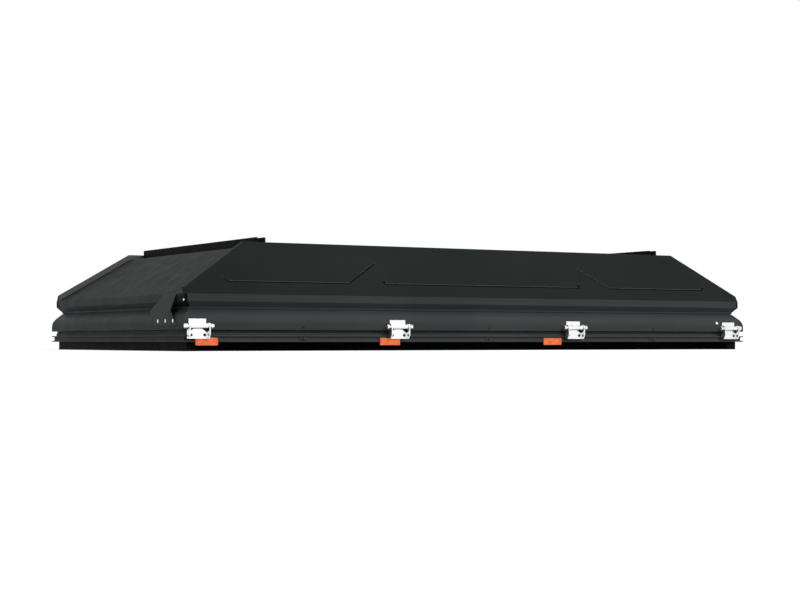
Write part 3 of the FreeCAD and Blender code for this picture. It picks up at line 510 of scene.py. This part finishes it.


# Where a pressed bead is looked for, to be darkened with painted shade: how far in from the slope's edges, how
# deep, and which way it faces.
beadShadePlan = {"rim": 0.012, "sideRim": 0.02, "edge": 0.01, "shallow": 0.0001, "deep": 0.0018, "facing": 0.1,
            "slopeUp": 0.2, "sameWay": 0.9999}


def markBeadShade(mesh):
    # a face attribute for the painted shade: 1 where the sheet is pressed in below the plane of its slope
    plan = beadShadePlan
    centres, normals = rowsOf(mesh.polygons, "center"), rowsOf(mesh.polygons, "normal")
    areas = np.zeros(len(mesh.polygons))
    mesh.polygons.foreach_get("area", areas)
    largest = int(np.argmax(areas * (normals[:, 2] > plan["slopeUp"])))
    facing = normals @ normals[largest]
    depth = (centres[largest] - centres) @ normals[largest]
    slope = (facing > plan["sameWay"]) & (np.abs(depth) < plan["shallow"])
    corners = np.array([mesh.vertices[index].co for face in np.flatnonzero(slope)
                        for index in mesh.polygons[int(face)].vertices])
    low, high = corners[:, 2].min(), corners[:, 2].max()
    reachLow = np.abs(corners[corners[:, 2] < low + plan["edge"], 0]).max()
    reachHigh = np.abs(corners[corners[:, 2] > high - plan["edge"], 0]).max()
    reach = np.interp(centres[:, 2], (low, high), (reachLow, reachHigh)) - plan["sideRim"]
    inside = (centres[:, 2] > low + plan["rim"]) & (centres[:, 2] < high - plan["rim"])
    shadedBead = inside & (np.abs(centres[:, 0]) < reach) & (facing > plan["facing"])
    shadedBead &= (depth > plan["shallow"]) & (depth < plan["deep"])
    layer = mesh.attributes.new("beadShade", "FLOAT", "FACE")
    layer.data.foreach_set("value", shadedBead.astype(np.float32))


gussetScrews = {"z": 0.100, "y": (-0.440, -0.505, -0.569), "radius": 0.0070, "rise": 0.0037,
                "recess": 0.0082, "depth": 0.0024}


def gussetHoles(end):
    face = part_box("gusset_front")[1][0]
    return [((end * face, y, gussetScrews["z"]), (end, 0, 0)) for y in gussetScrews["y"]]


for node in sorted(cadNodes):
    plugs = None
    if node.startswith("gusset_"):
        end = 1 if node.endswith("front") else -1
        plugs = sunkHoles(node + "_plugs", gussetHoles(end),
                          gussetScrews["recess"], gussetScrews["depth"])
    for start, slot, width in edgeWork:
        if node.startswith(start):
            roundedCopy(node, slot, width, plugs)
            break
print("rigid pieces finished")


# Button head with a hex socket, one unit in radius; its underside is at 0.
def buttonHead():
    shape = bmesh.new()
    sides = 24
    rings = ((1.0, 0.0, 0), (1.0, 0.1, 0), (0.94, 0.28, 0), (0.8, 0.44, 0), (0.6, 0.54, 0),
             (0.46, 0.57, 1), (0.44, 0.2, 1))
    loops = []
    for radius, height, hexagonal in rings:
        loop = []
        for step in range(sides):
            angle = 2 * math.pi * step / sides
            reach = radius
            if hexagonal:
                reach *= math.cos(math.pi / 6) / math.cos((angle % (math.pi / 3)) - math.pi / 6)
            loop.append(shape.verts.new((reach * math.cos(angle), reach * math.sin(angle), height)))
        loops.append(loop)
    for lower, upper in zip(loops, loops[1:]):
        for step in range(sides):
            following = (step + 1) % sides
            shape.faces.new((lower[step], lower[following], upper[following], upper[step]))
    shape.faces.new(loops[-1])
    shape.faces.new(list(reversed(loops[0])))
    mesh = meshOf(shape, "buttonHead")
    smoothed(mesh, 40)
    head = placed("buttonHead", mesh)
    head.hide_render = True
    return head


def boltTree():
    tree, add, link = startedTree("boltField", "Bolts", {
        "Points": "Geometry", "Head": "Object", "Radius": "Float", "Rise": "Float", "Finish": "Material"})
    given, made = add("NodeGroupInput"), add("NodeGroupOutput")
    head, scale = add("GeometryNodeObjectInfo"), add("ShaderNodeCombineXYZ")
    facing, turn = add("GeometryNodeInputNamedAttribute"), add("FunctionNodeAlignRotationToVector")
    facing.data_type = "FLOAT_VECTOR"
    facing.inputs["Name"].default_value = "facing"
    turn.axis = "Z"
    put, real = add("GeometryNodeInstanceOnPoints"), add("GeometryNodeRealizeInstances")
    coat = add("GeometryNodeSetMaterial")
    link([s for s in facing.outputs if s.enabled][0], turn.inputs["Vector"])
    for source, label, target, socket in (
            (given, "Radius", scale, "X"), (given, "Radius", scale, "Y"), (given, "Rise", scale, "Z"),
            (given, "Head", head, "Object"), (given, "Points", put, "Points"),
            (head, "Geometry", put, "Instance"), (turn, "Rotation", put, "Rotation"),
            (scale, "Vector", put, "Scale"), (put, "Instances", real, "Geometry"),
            (real, "Geometry", coat, "Geometry"), (given, "Finish", coat, "Material"),
            (coat, "Geometry", made, "Bolts")):
        link(source.outputs[label], target.inputs[socket])
    return tree


headShape = buttonHead()
boltNodes = boltTree()


def boltField(name, body, radius, material, bolts, rise=None):
    # bolts are (place, facing), in metres; rise is the scale of the head's height
    mesh = bpy.data.meshes.new(name + "Points")
    mesh.from_pydata([place for place, _ in bolts], [], [])
    facing = mesh.attributes.new("facing", "FLOAT_VECTOR", "POINT")
    facing.data.foreach_set("vector", np.array([way for _, way in bolts], np.float32).ravel())
    values = {"Head": headShape, "Radius": radius, "Rise": rise or radius, "Finish": material}
    newPiece(name, grownMesh(placed(name + "Points", mesh), boltNodes, values, name), material, body)


hingeX = [(low[0] + high[0]) / 2 for low, high in (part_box("hinge_base_%d" % n) for n in (1, 2, 3, 4))]
# out: how far the two bolts of a hinge stand to each side of its middle
boltPlan = {
    "plate": {"y": -0.659, "z": 0.0534, "out": 0.0238, "radius": 0.0052},
    "leaf": {"y": -0.654, "z": 0.0983, "out": 0.019, "radius": 0.0042},
    "sideX": {-1: (-0.760, -0.008, 0.746), 1: (-0.840, -0.008, 0.832)},
    "skirt": {"y": 0.650, "z": 0.080, "radius": 0.0046},
    "clamp": {"y": 0.645, "z": 0.041, "radius": 0.0046},
    "front": {"place": (1.066, -0.6474, 0.103), "facing": (0, -0.943, 0.333), "radius": 0.0062},
}


def hingeBolts(name, body, spot, material):
    boltField(name, body, spot["radius"], material, [
        ((x + out, spot["y"], spot["z"]), (0, -1, 0)) for x in hingeX for out in (-spot["out"], spot["out"])])


def sideBolts(name, body, spot):
    boltField(name, body, spot["radius"], blackBolt, [
        ((x, way * spot["y"], spot["z"]), (0, way, 0)) for way, places in boltPlan["sideX"].items()
        for x in places])


hingeBolts("hingePlateBolts", "base", boltPlan["plate"], blackBolt)
hingeBolts("hingeLeafBolts", "lid", boltPlan["leaf"], steelBolt)
boltField("gussetBolts", "lid", gussetScrews["radius"], steelBolt, [
    ((place[0] - facing[0] * gussetScrews["depth"], place[1], place[2]), facing)
    for end in (-1, 1) for place, facing in gussetHoles(end)], gussetScrews["rise"])
sideBolts("skirtBolts", "lid", boltPlan["skirt"])
boltField("frontBolt", "lid", boltPlan["front"]["radius"], steelBolt, [
    (boltPlan["front"]["place"], boltPlan["front"]["facing"])])
sideBolts("clampBolts", "base", boltPlan["clamp"])
print("bolts placed")


# Plates with rounded corners, drawn flat and then stood against a face.
def roundedRectangle(halfX, halfZ, corner, steps=5):
    points = []
    x, z = halfX - corner, halfZ - corner
    for centreX, centreZ, start in ((x, z, 0), (-x, z, 90), (-x, -z, 180), (x, -z, 270)):
        for step in range(steps + 1):
            angle = math.radians(start + 90 * step / steps)
            points.append((centreX + corner * math.cos(angle), centreZ + corner * math.sin(angle)))
    return points


def ringedShape(loops, shape=None):
    # closed skin through rings of points, from the foot to the crown
    if shape is None:
        shape = bmesh.new()
    rings = [[shape.verts.new(point) for point in loop] for loop in loops]
    for lower, upper in zip(rings, rings[1:]):
        for step in range(len(lower)):
            following = (step + 1) % len(lower)
            shape.faces.new((lower[step], lower[following], upper[following], upper[step]))
    for ring in (rings[0], rings[-1]):
        shape.faces.new(ring)
    bmesh.ops.recalc_face_normals(shape, faces=shape.faces)
    return shape


# Clamp plates in the groove of the tray, each behind a dark bolt.
clampPlan = {"halfX": 0.0135, "halfZ": 0.0056, "corner": 0.0022, "foot": 0.642, "soft": 0.0007}


def grooveClamps():
    shape = bmesh.new()
    face, middle = boltPlan["clamp"]["y"], boltPlan["clamp"]["z"]
    soft, foot = clampPlan["soft"], clampPlan["foot"]
    for way, places in boltPlan["sideX"].items():
        for x in places:
            loops = []
            for reach, pull in ((foot, 0), (face - soft, 0), (face, soft)):
                sizes = (clampPlan[name] - pull for name in ("halfX", "halfZ", "corner"))
                loops.append([(x + u, way * reach, middle + v) for u, v in roundedRectangle(*sizes)])
            ringedShape(loops, shape)
    mesh = meshOf(shape, "grooveClamps")
    smoothed(mesh, 50)
    newPiece("grooveClamps", mesh, finishes["tray_coat"].material, "base")


grooveClamps()


# Black corner caps round the lip and the undercut below it.
capPlan = {
    "halfX": 1.2, "halfY": 0.65, "lipInset": 0.015, "proud": 0.0022, "sideProud": 0.0012,
    "nearLeg": 0.082, "farLeg": 0.012, "sideLeg": 0.009, "wall": 0.006, "soft": 0.005, "bends": 6,
    "low": 0.1468, "shoulder": 0.164, "high": 0.1885, "tuck": 0.0154, "rim": 0.0006, "rimAngle": 50,
    "boltZ": 0.1685, "boltIn": 0.0085, "boltRadius": 0.0040,
}


def cornerCap(name, wayX, wayY, leg):
    plan = capPlan
    outerX = plan["halfX"] - plan["lipInset"] + plan["proud"]
    outerY = plan["halfY"] - plan["lipInset"] + plan["sideProud"]
    soft, wall = plan["soft"], plan["wall"]
    bend = [math.pi / 2 * step / plan["bends"] for step in range(plan["bends"] + 1)]
    outline = [(0, leg)]
    outline += [(soft - soft * math.cos(turn), soft - soft * math.sin(turn)) for turn in bend]
    outline += [(plan["sideLeg"], 0), (plan["sideLeg"], wall), (wall, wall), (wall, leg)]
    levels = ((plan["low"], plan["tuck"]), (plan["shoulder"], 0), (plan["high"], 0))
    shape = ringedShape([[(wayX * (outerX - u - pull), wayY * (outerY - v - pull), height)
                          for u, v in outline] for height, pull in levels])
    rounded(shape, [edge for edge in shape.edges
                    if edge.calc_face_angle(0) > math.radians(plan["rimAngle"])], plan["rim"])
    mesh = meshOf(shape, name)
    smoothed(mesh, 40)
    newPiece(name, mesh, capPlastic, "lid")
    # the middle of the screw in the end face
    return (wayX * outerX, wayY * (plan["halfY"] - plan["lipInset"] - plan["boltIn"]), plan["boltZ"])


capBolts = []
for end, wayX in (("front", 1), ("rear", -1)):
    cornerCap("cornerCap_" + end + "Left", wayX, 1, capPlan["farLeg"])
    capBolts.append((cornerCap("cornerCap_" + end + "Right", wayX, -1, capPlan["nearLeg"]), (wayX, 0, 0)))
boltField("capBolts", "lid", capPlan["boltRadius"], steelBolt, capBolts)
print("clamps and corner caps made")


# Side markers: a rimmed amber lens with rows of small prisms.
markerPlan = {
    "count": 3, "length": 0.080, "height": 0.025, "thick": 0.0035, "corner": 0.003, "rim": 0.003,
    "soft": 0.0006, "sink": 0.0009, "columns": 18, "rows": 5, "border": 0.005,
    "prism": 0.0021, "prismRise": 0.0008, "prismTop": 0.0002,
}


def prismTree():
    tree, add, link = startedTree("prismRows", "Lens with prisms", {
        "Lens": "Geometry", "Length": "Float", "Height": "Float", "Columns": "Int", "Rows": "Int",
        "Prism": "Float", "Rise": "Float", "Place": "Vector", "Finish": "Material"})
    given, made = add("NodeGroupInput"), add("NodeGroupOutput")
    grid, cone = add("GeometryNodeMeshGrid"), add("GeometryNodeMeshCone")
    cone.inputs["Vertices"].default_value = 4
    cone.inputs["Radius Top"].default_value = markerPlan["prismTop"]
    put = add("GeometryNodeInstanceOnPoints")
    put.inputs["Rotation"].default_value = (0, 0, math.pi / 4)
    real, join = add("GeometryNodeRealizeInstances"), add("GeometryNodeJoinGeometry")
    lift, coat = add("GeometryNodeTransform"), add("GeometryNodeSetMaterial")
    for source, label, target, socket in (
            (given, "Length", grid, "Size X"), (given, "Height", grid, "Size Y"),
            (given, "Columns", grid, "Vertices X"), (given, "Rows", grid, "Vertices Y"),
            (given, "Prism", cone, "Radius Bottom"), (given, "Rise", cone, "Depth"),
            (grid, "Mesh", put, "Points"), (cone, "Mesh", put, "Instance"),
            (put, "Instances", lift, "Geometry"), (given, "Place", lift, "Translation"),
            (lift, "Geometry", real, "Geometry"), (given, "Lens", join, "Geometry"),
            (real, "Geometry", join, "Geometry"), (join, "Geometry", coat, "Geometry"),
            (given, "Finish", coat, "Material"), (coat, "Geometry", made, "Lens with prisms")):
        link(source.outputs[label], target.inputs[socket])
    return tree


def markerShape():
    # drawn flat with its face up, then stood up by markers()
    plan = markerPlan
    rim, soft, thick, sunk = plan["rim"], plan["soft"], plan["thick"], plan["thick"] - plan["sink"]
    loops = []
    for pull, height in ((0, 0.0), (0, thick - soft), (soft, thick), (rim, thick), (rim + soft, sunk)):
        outline = roundedRectangle(plan["length"] / 2 - pull, plan["height"] / 2 - pull,
                                   max(plan["corner"] - pull, soft))
        loops.append([(x, z, height) for x, z in outline])
    values = {
        "Length": plan["length"] - 2 * rim - plan["border"],
        "Height": plan["height"] - 2 * rim - plan["border"],
        "Columns": plan["columns"], "Rows": plan["rows"], "Prism": plan["prism"], "Rise": plan["prismRise"],
        "Place": (0, 0, sunk), "Finish": finishes["amber"].material}
    carrier = placed("marker", meshOf(ringedShape(loops), "marker"))
    return grownMesh(carrier, prismTree(), values, "markerLens")


def markers(name, node, way, lens):
    low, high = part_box(node)
    face, middle = low[1] if way > 0 else high[1], (low[2] + high[2]) / 2
    pitch = (high[0] - low[0] - markerPlan["length"]) / (markerPlan["count"] - 1)
    points = rowsOf(lens.vertices, "co")
    polygons = [list(polygon.vertices) for polygon in lens.polygons]
    verts, faces = [], []
    for number in range(markerPlan["count"]):
        centre = low[0] + markerPlan["length"] / 2 + pitch * number
        base = len(verts)
        verts += [(centre - way * x, face + way * rise, middle + z) for x, z, rise in points]
        faces += [[base + index for index in polygon] for polygon in polygons]
    mesh = bpy.data.meshes.new(name)
    mesh.from_pydata(verts, [], faces)
    mesh.validate()
    shape = bmesh.new()
    shape.from_mesh(mesh)
    bmesh.ops.recalc_face_normals(shape, faces=shape.faces)
    shape.to_mesh(mesh)
    shape.free()
    smoothed(mesh, 25)
    piece = newPiece(name, mesh, finishes["amber"].material, "base")
    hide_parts(node)


markerLens = markerShape()
markers("markers_right", "side_markers_right", -1, markerLens)
markers("markers_left", "side_markers_left", 1, markerLens)
print("side markers made")


# Canvas: one sheet round three sides. Closed, it lies in narrow tucks between the tray and
# the lid; the tucks open inwards, so that the raised wall is smooth outside but for its creases.
canvasPlan = {
    "hingeY": -0.668, "hingeZ": 0.083, "swing": math.radians(50),
    "foot": 0.050, "foldLow": 0.111, "foldHigh": 0.163, "top": 0.168, "footRows": 5,
    "gable": 1.1072, "far": 0.5872, "near": -0.560, "corner": 0.05,
    "gableColumns": 34, "cornerColumns": 5, "farColumns": 70,
    "tucks": 22, "depth": 0.0124, "puff": 0.0007, "wander": 0.16, "settle": 8,
    # waves that the tucks wander by: along the run, from tuck to tuck, and size
    "waves": ((1.7, 2.4, 1.0), (4.3, 1.1, 0.6)), "swell": (6.1, 1.9, 0.2), "swellInside": 0.06,
    # where the run's middle lies on the sheet's UV map, so that it can't meet the ends there
    "middle": 10,
}
# one tuck: how far through it, and how far out (of puff) or in (of depth)
tuckProfile = ((0.0, 0.0), (0.12, 0.75), (0.35, 1.0), (0.65, 1.0), (0.84, 0.75), (0.94, 0.0),
               (0.955, -0.55), (0.96, -1.0), (0.975, -1.0), (0.985, -0.55))


def foldWeight(height):
    low, high = canvasPlan["foldLow"], canvasPlan["foldHigh"]
    share = min(max((height - low) / (high - low), 0), 1)
    return share * share * (3 - 2 * share)


def foldHeight(weight):
    # the height at which the fold weight is reached
    low, high = canvasPlan["foldLow"], canvasPlan["foldHigh"]
    share = 0.5 - math.sin(math.asin(1 - 2 * min(max(weight, 0), 1)) / 3)
    return low + (high - low) * share


def cornerPath(centreX, centreY, start, finish):
    radius = canvasPlan["corner"]
    for angle in np.linspace(start, finish, canvasPlan["cornerColumns"], endpoint=False):
        out = (math.cos(angle), math.sin(angle))
        yield (centreX + radius * out[0], centreY + radius * out[1], *out)


def wallPath():
    # from the rear end's hinge side round the far side, as (x, y, outward x, outward y)
    gable, far, near, corner = (canvasPlan[name] for name in ("gable", "far", "near", "corner"))
    ends = canvasPlan["gableColumns"]
    path = [(-gable, near + (far - corner - near) * share, -1, 0)
            for share in np.linspace(0, 1, ends, endpoint=False)]
    path += cornerPath(corner - gable, far - corner, math.pi, math.pi / 2)
    path += [((gable - corner) * share, far, 0, 1)
             for share in np.linspace(-1, 1, canvasPlan["farColumns"], endpoint=False)]
    path += cornerPath(gable - corner, far - corner, math.pi / 2, 0)
    path += [(gable, near + (far - corner - near) * share, 1, 0) for share in np.linspace(1, 0, ends)]
    return np.array(path)


def canvasRows():
    # each row is (fold weight, out or in, tuck number), or a height where the wall is plain
    foot, low, tucks = (canvasPlan[name] for name in ("foot", "foldLow", "tucks"))
    rows = [("plain", height) for height in np.linspace(foot, low, canvasPlan["footRows"])[:-1]]
    for tuck in range(tucks):
        rows += [("fold", (tuck + share) / tucks, pull, tuck) for share, pull in tuckProfile]
    return rows + [("plain", canvasPlan["foldHigh"]), ("plain", canvasPlan["top"])]


def foldPoint(run, weight, shape, tuck):
    # height of a point in a tuck, and how far it stands out of the wall
    plan = canvasPlan
    edge = min(1.0, plan["settle"] * weight, plan["settle"] * (1 - weight))
    sway = sum(size * math.sin(along * run + step * tuck) for along, step, size in plan["waves"])
    sway /= sum(size for _, _, size in plan["waves"])
    along, step, change = plan["swell"]
    size = 1 - change + change * math.sin(along * run + step * tuck)
    inside = plan["swellInside"]
    pull = plan["puff"] * size * shape if shape > 0 else plan["depth"] * (1 - inside + inside * size) * shape
    return foldHeight(weight + edge * plan["wander"] * sway / plan["tucks"]), pull


def canvasSheet():
    plan = canvasPlan
    path = wallPath()
    along = np.concatenate(((0,), np.cumsum(np.hypot(np.diff(path[:, 0]), np.diff(path[:, 1])))))
    points, sheetPlace, endPlace = [], [], []
    rows = canvasRows()
    for row in rows:
        for (x, y, outX, outY), run in zip(path, along):
            height, pull = (row[1], 0.0) if row[0] == "plain" else foldPoint(run, *row[1:])
            points.append((x + outX * pull, y + outY * pull, height))
            turn = plan["swing"] * foldWeight(height)
            reach, rise = y - plan["hingeY"], height - plan["hingeZ"]
            sheetPlace.append((plan["middle"] + run - along[-1] / 2, reach * turn + height))
            endPlace.append((plan["hingeY"] + reach * math.cos(turn) - rise * math.sin(turn),
                             plan["hingeZ"] + reach * math.sin(turn) + rise * math.cos(turn)))
    columns = len(path)
    faces, places = [], []
    ends = plan["gableColumns"]
    for row in range(len(rows) - 1):
        for column in range(columns - 1):
            first = row * columns + column
            face = (first, first + columns, first + columns + 1, first + 1)
            faces.append(face)
            source = endPlace if column < ends or column >= columns - ends else sheetPlace
            places += [source[index] for index in face]
    mesh = bpy.data.meshes.new("tent_canvas")
    mesh.from_pydata(points, [], faces)
    layer = mesh.uv_layers.new(name="sheet")
    layer.data.foreach_set("uv", np.array(places, np.float32).ravel())
    mesh.shade_smooth()
    area = sum(polygon.area for polygon in mesh.polygons)
    print("canvas, folded area", round(area, 2), "run", round(along[-1], 3))
    piece = placed("tent_canvas", mesh)
    paint(piece, finishes["canvas"].material)
    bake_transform(piece)
    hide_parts("canvas_front", "canvas_rear", "canvas_side")


# Foam mattress in a knitted cover: a padded block blown up a little, then quilted.
mattressPlan = {
    "inset": 0.007, "edge": 0.014, "edgeSegments": 4, "voxel": 0.016,
    "pressure": 4.0, "quality": 4, "frames": 20, "cap": 0.006, "clear": 0.0003,
    "quilt": 0.19, "quiltDepth": 0.0028, "quiltWidth": 0.012, "crown": 6,
    "piping": 0.0032, "pipingOut": 0.001, "pipingCorner": 0.03, "pipingLevel": 0.55,
}


def blownUp(piece):
    # a short cloth run under pressure, in which no point moves further than the cap
    plan = mattressPlan
    before = rowsOf(piece.data.vertices, "co")
    cloth = piece.modifiers.new("cloth", "CLOTH").settings
    cloth.use_pressure = True
    cloth.uniform_pressure_force = plan["pressure"]
    cloth.effector_weights.gravity = 0
    cloth.quality = plan["quality"]
    for step in range(plan["frames"]):
        scene.frame_set(step + 1)
    depsgraph = bpy.context.evaluated_depsgraph_get()
    blown = bpy.data.meshes.new_from_object(piece.evaluated_get(depsgraph))
    moved = rowsOf(blown.vertices, "co") - before
    reach = np.linalg.norm(moved, axis=1, keepdims=True)
    after = before + moved * np.minimum(1.0, plan["cap"] / np.maximum(reach, 1e-9))
    piece.modifiers.clear()
    piece.data.vertices.foreach_set("co", after.ravel())
    scene.frame_set(1)


def piping(name, middle, size, height):
    plan = mattressPlan
    outline = roundedRectangle(size.x / 2 + plan["pipingOut"], size.y / 2 + plan["pipingOut"],
                               plan["pipingCorner"], 8)
    curve = bpy.data.curves.new(name, "CURVE")
    curve.dimensions = "3D"
    curve.bevel_depth = plan["piping"]
    curve.bevel_resolution = 3
    spline = curve.splines.new("POLY")
    spline.points.add(len(outline) - 1)
    for point, (x, y) in zip(spline.points, outline):
        point.co = (middle.x + x, middle.y + y, height, 1)
    spline.use_cyclic_u = True
    mesh = builtMesh(placed(name, curve), name)
    mesh.shade_smooth()
    newPiece(name, mesh, pipingCloth, "base")


def mattressCover():
    plan = mattressPlan
    low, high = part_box("mattress")
    size = high - low - Vector((2, 2, 2)) * plan["inset"]
    middle = (high + low) / 2
    shape = bmesh.new()
    bmesh.ops.create_cube(shape, size=1.0)
    bmesh.ops.scale(shape, vec=size, verts=shape.verts)
    bmesh.ops.translate(shape, vec=middle, verts=shape.verts)
    bmesh.ops.bevel(shape, geom=list(shape.edges), offset=plan["edge"], segments=plan["edgeSegments"],
                    profile=0.5, affect="EDGES")
    block = placed("mattressBlock", meshOf(shape, "mattressBlock"))
    remesh = block.modifiers.new("voxels", "REMESH")
    remesh.mode = "VOXEL"
    remesh.voxel_size = plan["voxel"]
    piece = placed("mattress_cover", builtMesh(block, "mattress_cover"))
    blownUp(piece)
    finer = piece.modifiers.new("finer", "SUBSURF")
    finer.levels = finer.render_levels = 1
    mesh = builtMesh(piece, "mattress_cover")
    points = rowsOf(mesh.vertices, "co")
    # quilting lines run both ways on the slant and pull the cover in
    flat = np.clip((points[:, 2] - middle.z) / (size.z / 2), 0, 1) ** plan["crown"]
    for way in (1, -1):
        across = (points[:, 0] + way * points[:, 1]) / (plan["quilt"] * math.sqrt(2))
        away = np.abs(across - np.round(across)) * plan["quilt"]
        points[:, 2] -= plan["quiltDepth"] * np.exp(-(away / plan["quiltWidth"]) ** 2) * flat
    points = np.clip(points, np.array(low) + plan["clear"], np.array(high) - plan["clear"])
    mesh.vertices.foreach_set("co", points.ravel())
    mesh.shade_smooth()
    cover = newPiece("mattress_cover", mesh, finishes["mattress_cloth"].material, "base")
    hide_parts("mattress")
    inwards = plan["edge"] * plan["pipingLevel"]
    piping("piping_upper", middle, size, high.z - inwards)
    piping("piping_lower", middle, size, low.z + inwards)


mattressCover()
print("mattress made")
canvasSheet()
print("canvas folded")

# Pale floor, plain world, soft lamps.
studio = {
    "camera": (-3.336, -5.669, 0.035),
    "target": (0.0, 0.0, 0.195),
    "lens": 75.0,
    "background": (1.0, 1.0, 1.0, 1.0),
    "fill": 0.62,
    "floorSeen": tone(240, 240, 239),
    "floorLight": (tone(120, 120, 119), tone(128, 128, 127)),
    "nearWhite": 0.35,
    "whiteReach": (1.2, 3.6),
    "floorHalf": 60,
    "lampTarget": (0, 0, 0.15),
    "lamps": (
        # name, place, size, power, colour
        ("overhead", (0.4, 0.3, 4.2), 4.5, 150, (1.0, 1.0, 1.0)),
        ("side", (0.6, -5.2, 2.6), 3.2, 135, (1.0, 0.99, 0.98)),
        ("rear", (-5.0, 0.8, 2.4), 2.6, 5, (0.98, 0.99, 1.0)),
    ),
}


def studioFloor():
    mesh = bpy.data.meshes.new("floor")
    half = studio["floorHalf"]
    corners = [(x * half, y * half, 0) for x, y in ((-1, -1), (1, -1), (1, 1), (-1, 1))]
    mesh.from_pydata(corners, [], [(0, 1, 2, 3)])
    floor = placed("floor", mesh)
    finish = Finish("studioFloor")
    vector = finish.where()
    low, high = studio["floorLight"]
    sent = finish.ramp(finish.noise(vector, 3, 4), ((0.3, low), (0.7, high)))
    finish.fixed(Roughness=0.9, Specular_IOR_Level=0.1)
    # seen by the camera it is pale near the object and plain white away from it
    length = finish.add("ShaderNodeVectorMath")
    length.operation = "LENGTH"
    finish.join(length.inputs[0], finish.place.outputs["Object"])
    far = finish.spread(length.outputs["Value"], studio["nearWhite"], 1.0, *studio["whiteReach"])
    rays = finish.add("ShaderNodeLightPath")
    seen = finish.sums("MAXIMUM", rays.outputs["Is Camera Ray"], rays.outputs["Is Glossy Ray"])
    finish.varied("Base Color", finish.blendColours(seen, sent, studio["floorSeen"]))
    mix = finish.add("ShaderNodeMixShader", Fac=finish.sums("MULTIPLY", seen, far))
    finish.join(mix.inputs[1], finish.shader.outputs["BSDF"])
    finish.join(mix.inputs[2], finish.add("ShaderNodeEmission").outputs["Emission"])
    output = [node for node in finish.tree.nodes if node.type == "OUTPUT_MATERIAL"][0]
    finish.join(output.inputs["Surface"], mix.outputs["Shader"])
    paint(floor, finish.material)


def studioWorld():
    world = bpy.data.worlds.new("studio")
    scene.world = world
    world.use_nodes = True
    tree = world.node_tree
    tree.nodes.clear()
    add, link = tree.nodes.new, tree.links.new
    output, mix, rays = (add("ShaderNode" + kind) for kind in ("OutputWorld", "MixShader", "LightPath"))
    # socket 2 is what the camera, mirrors and glass see, socket 1 what lights the object
    for socket, strength in ((2, 1.0), (1, studio["fill"])):
        light = add("ShaderNodeBackground")
        light.inputs["Color"].default_value = studio["background"]
        light.inputs["Strength"].default_value = strength
        link(light.outputs["Background"], mix.inputs[socket])
    factor = rays.outputs["Is Camera Ray"]
    for kind in ("Is Glossy Ray", "Is Transmission Ray"):
        either = add("ShaderNodeMath")
        either.operation = "MAXIMUM"
        link(factor, either.inputs[0])
        link(rays.outputs[kind], either.inputs[1])
        factor = either.outputs["Value"]
    link(factor, mix.inputs["Fac"])
    link(mix.outputs["Shader"], output.inputs["Surface"])


def aim(item, target):
    item.rotation_euler = (Vector(target) - item.location).to_track_quat("-Z", "Y").to_euler()


studioFloor()
studioWorld()
for name, place, size, power, colour in studio["lamps"]:
    lamp = bpy.data.lights.new(name, "AREA")
    lamp.shape = "DISK"
    lamp.size = size
    lamp.energy = power
    lamp.color = colour
    holder = placed(name, lamp)
    holder.location = place
    aim(holder, studio["lampTarget"])
camera = placed("camera", bpy.data.cameras.new("camera"))
camera.location = studio["camera"]
camera.data.lens = studio["lens"]
camera.data.sensor_width = 36.0
aim(camera, studio["target"])
scene.camera = camera
print("studio ready")

bpy.context.view_layer.update()
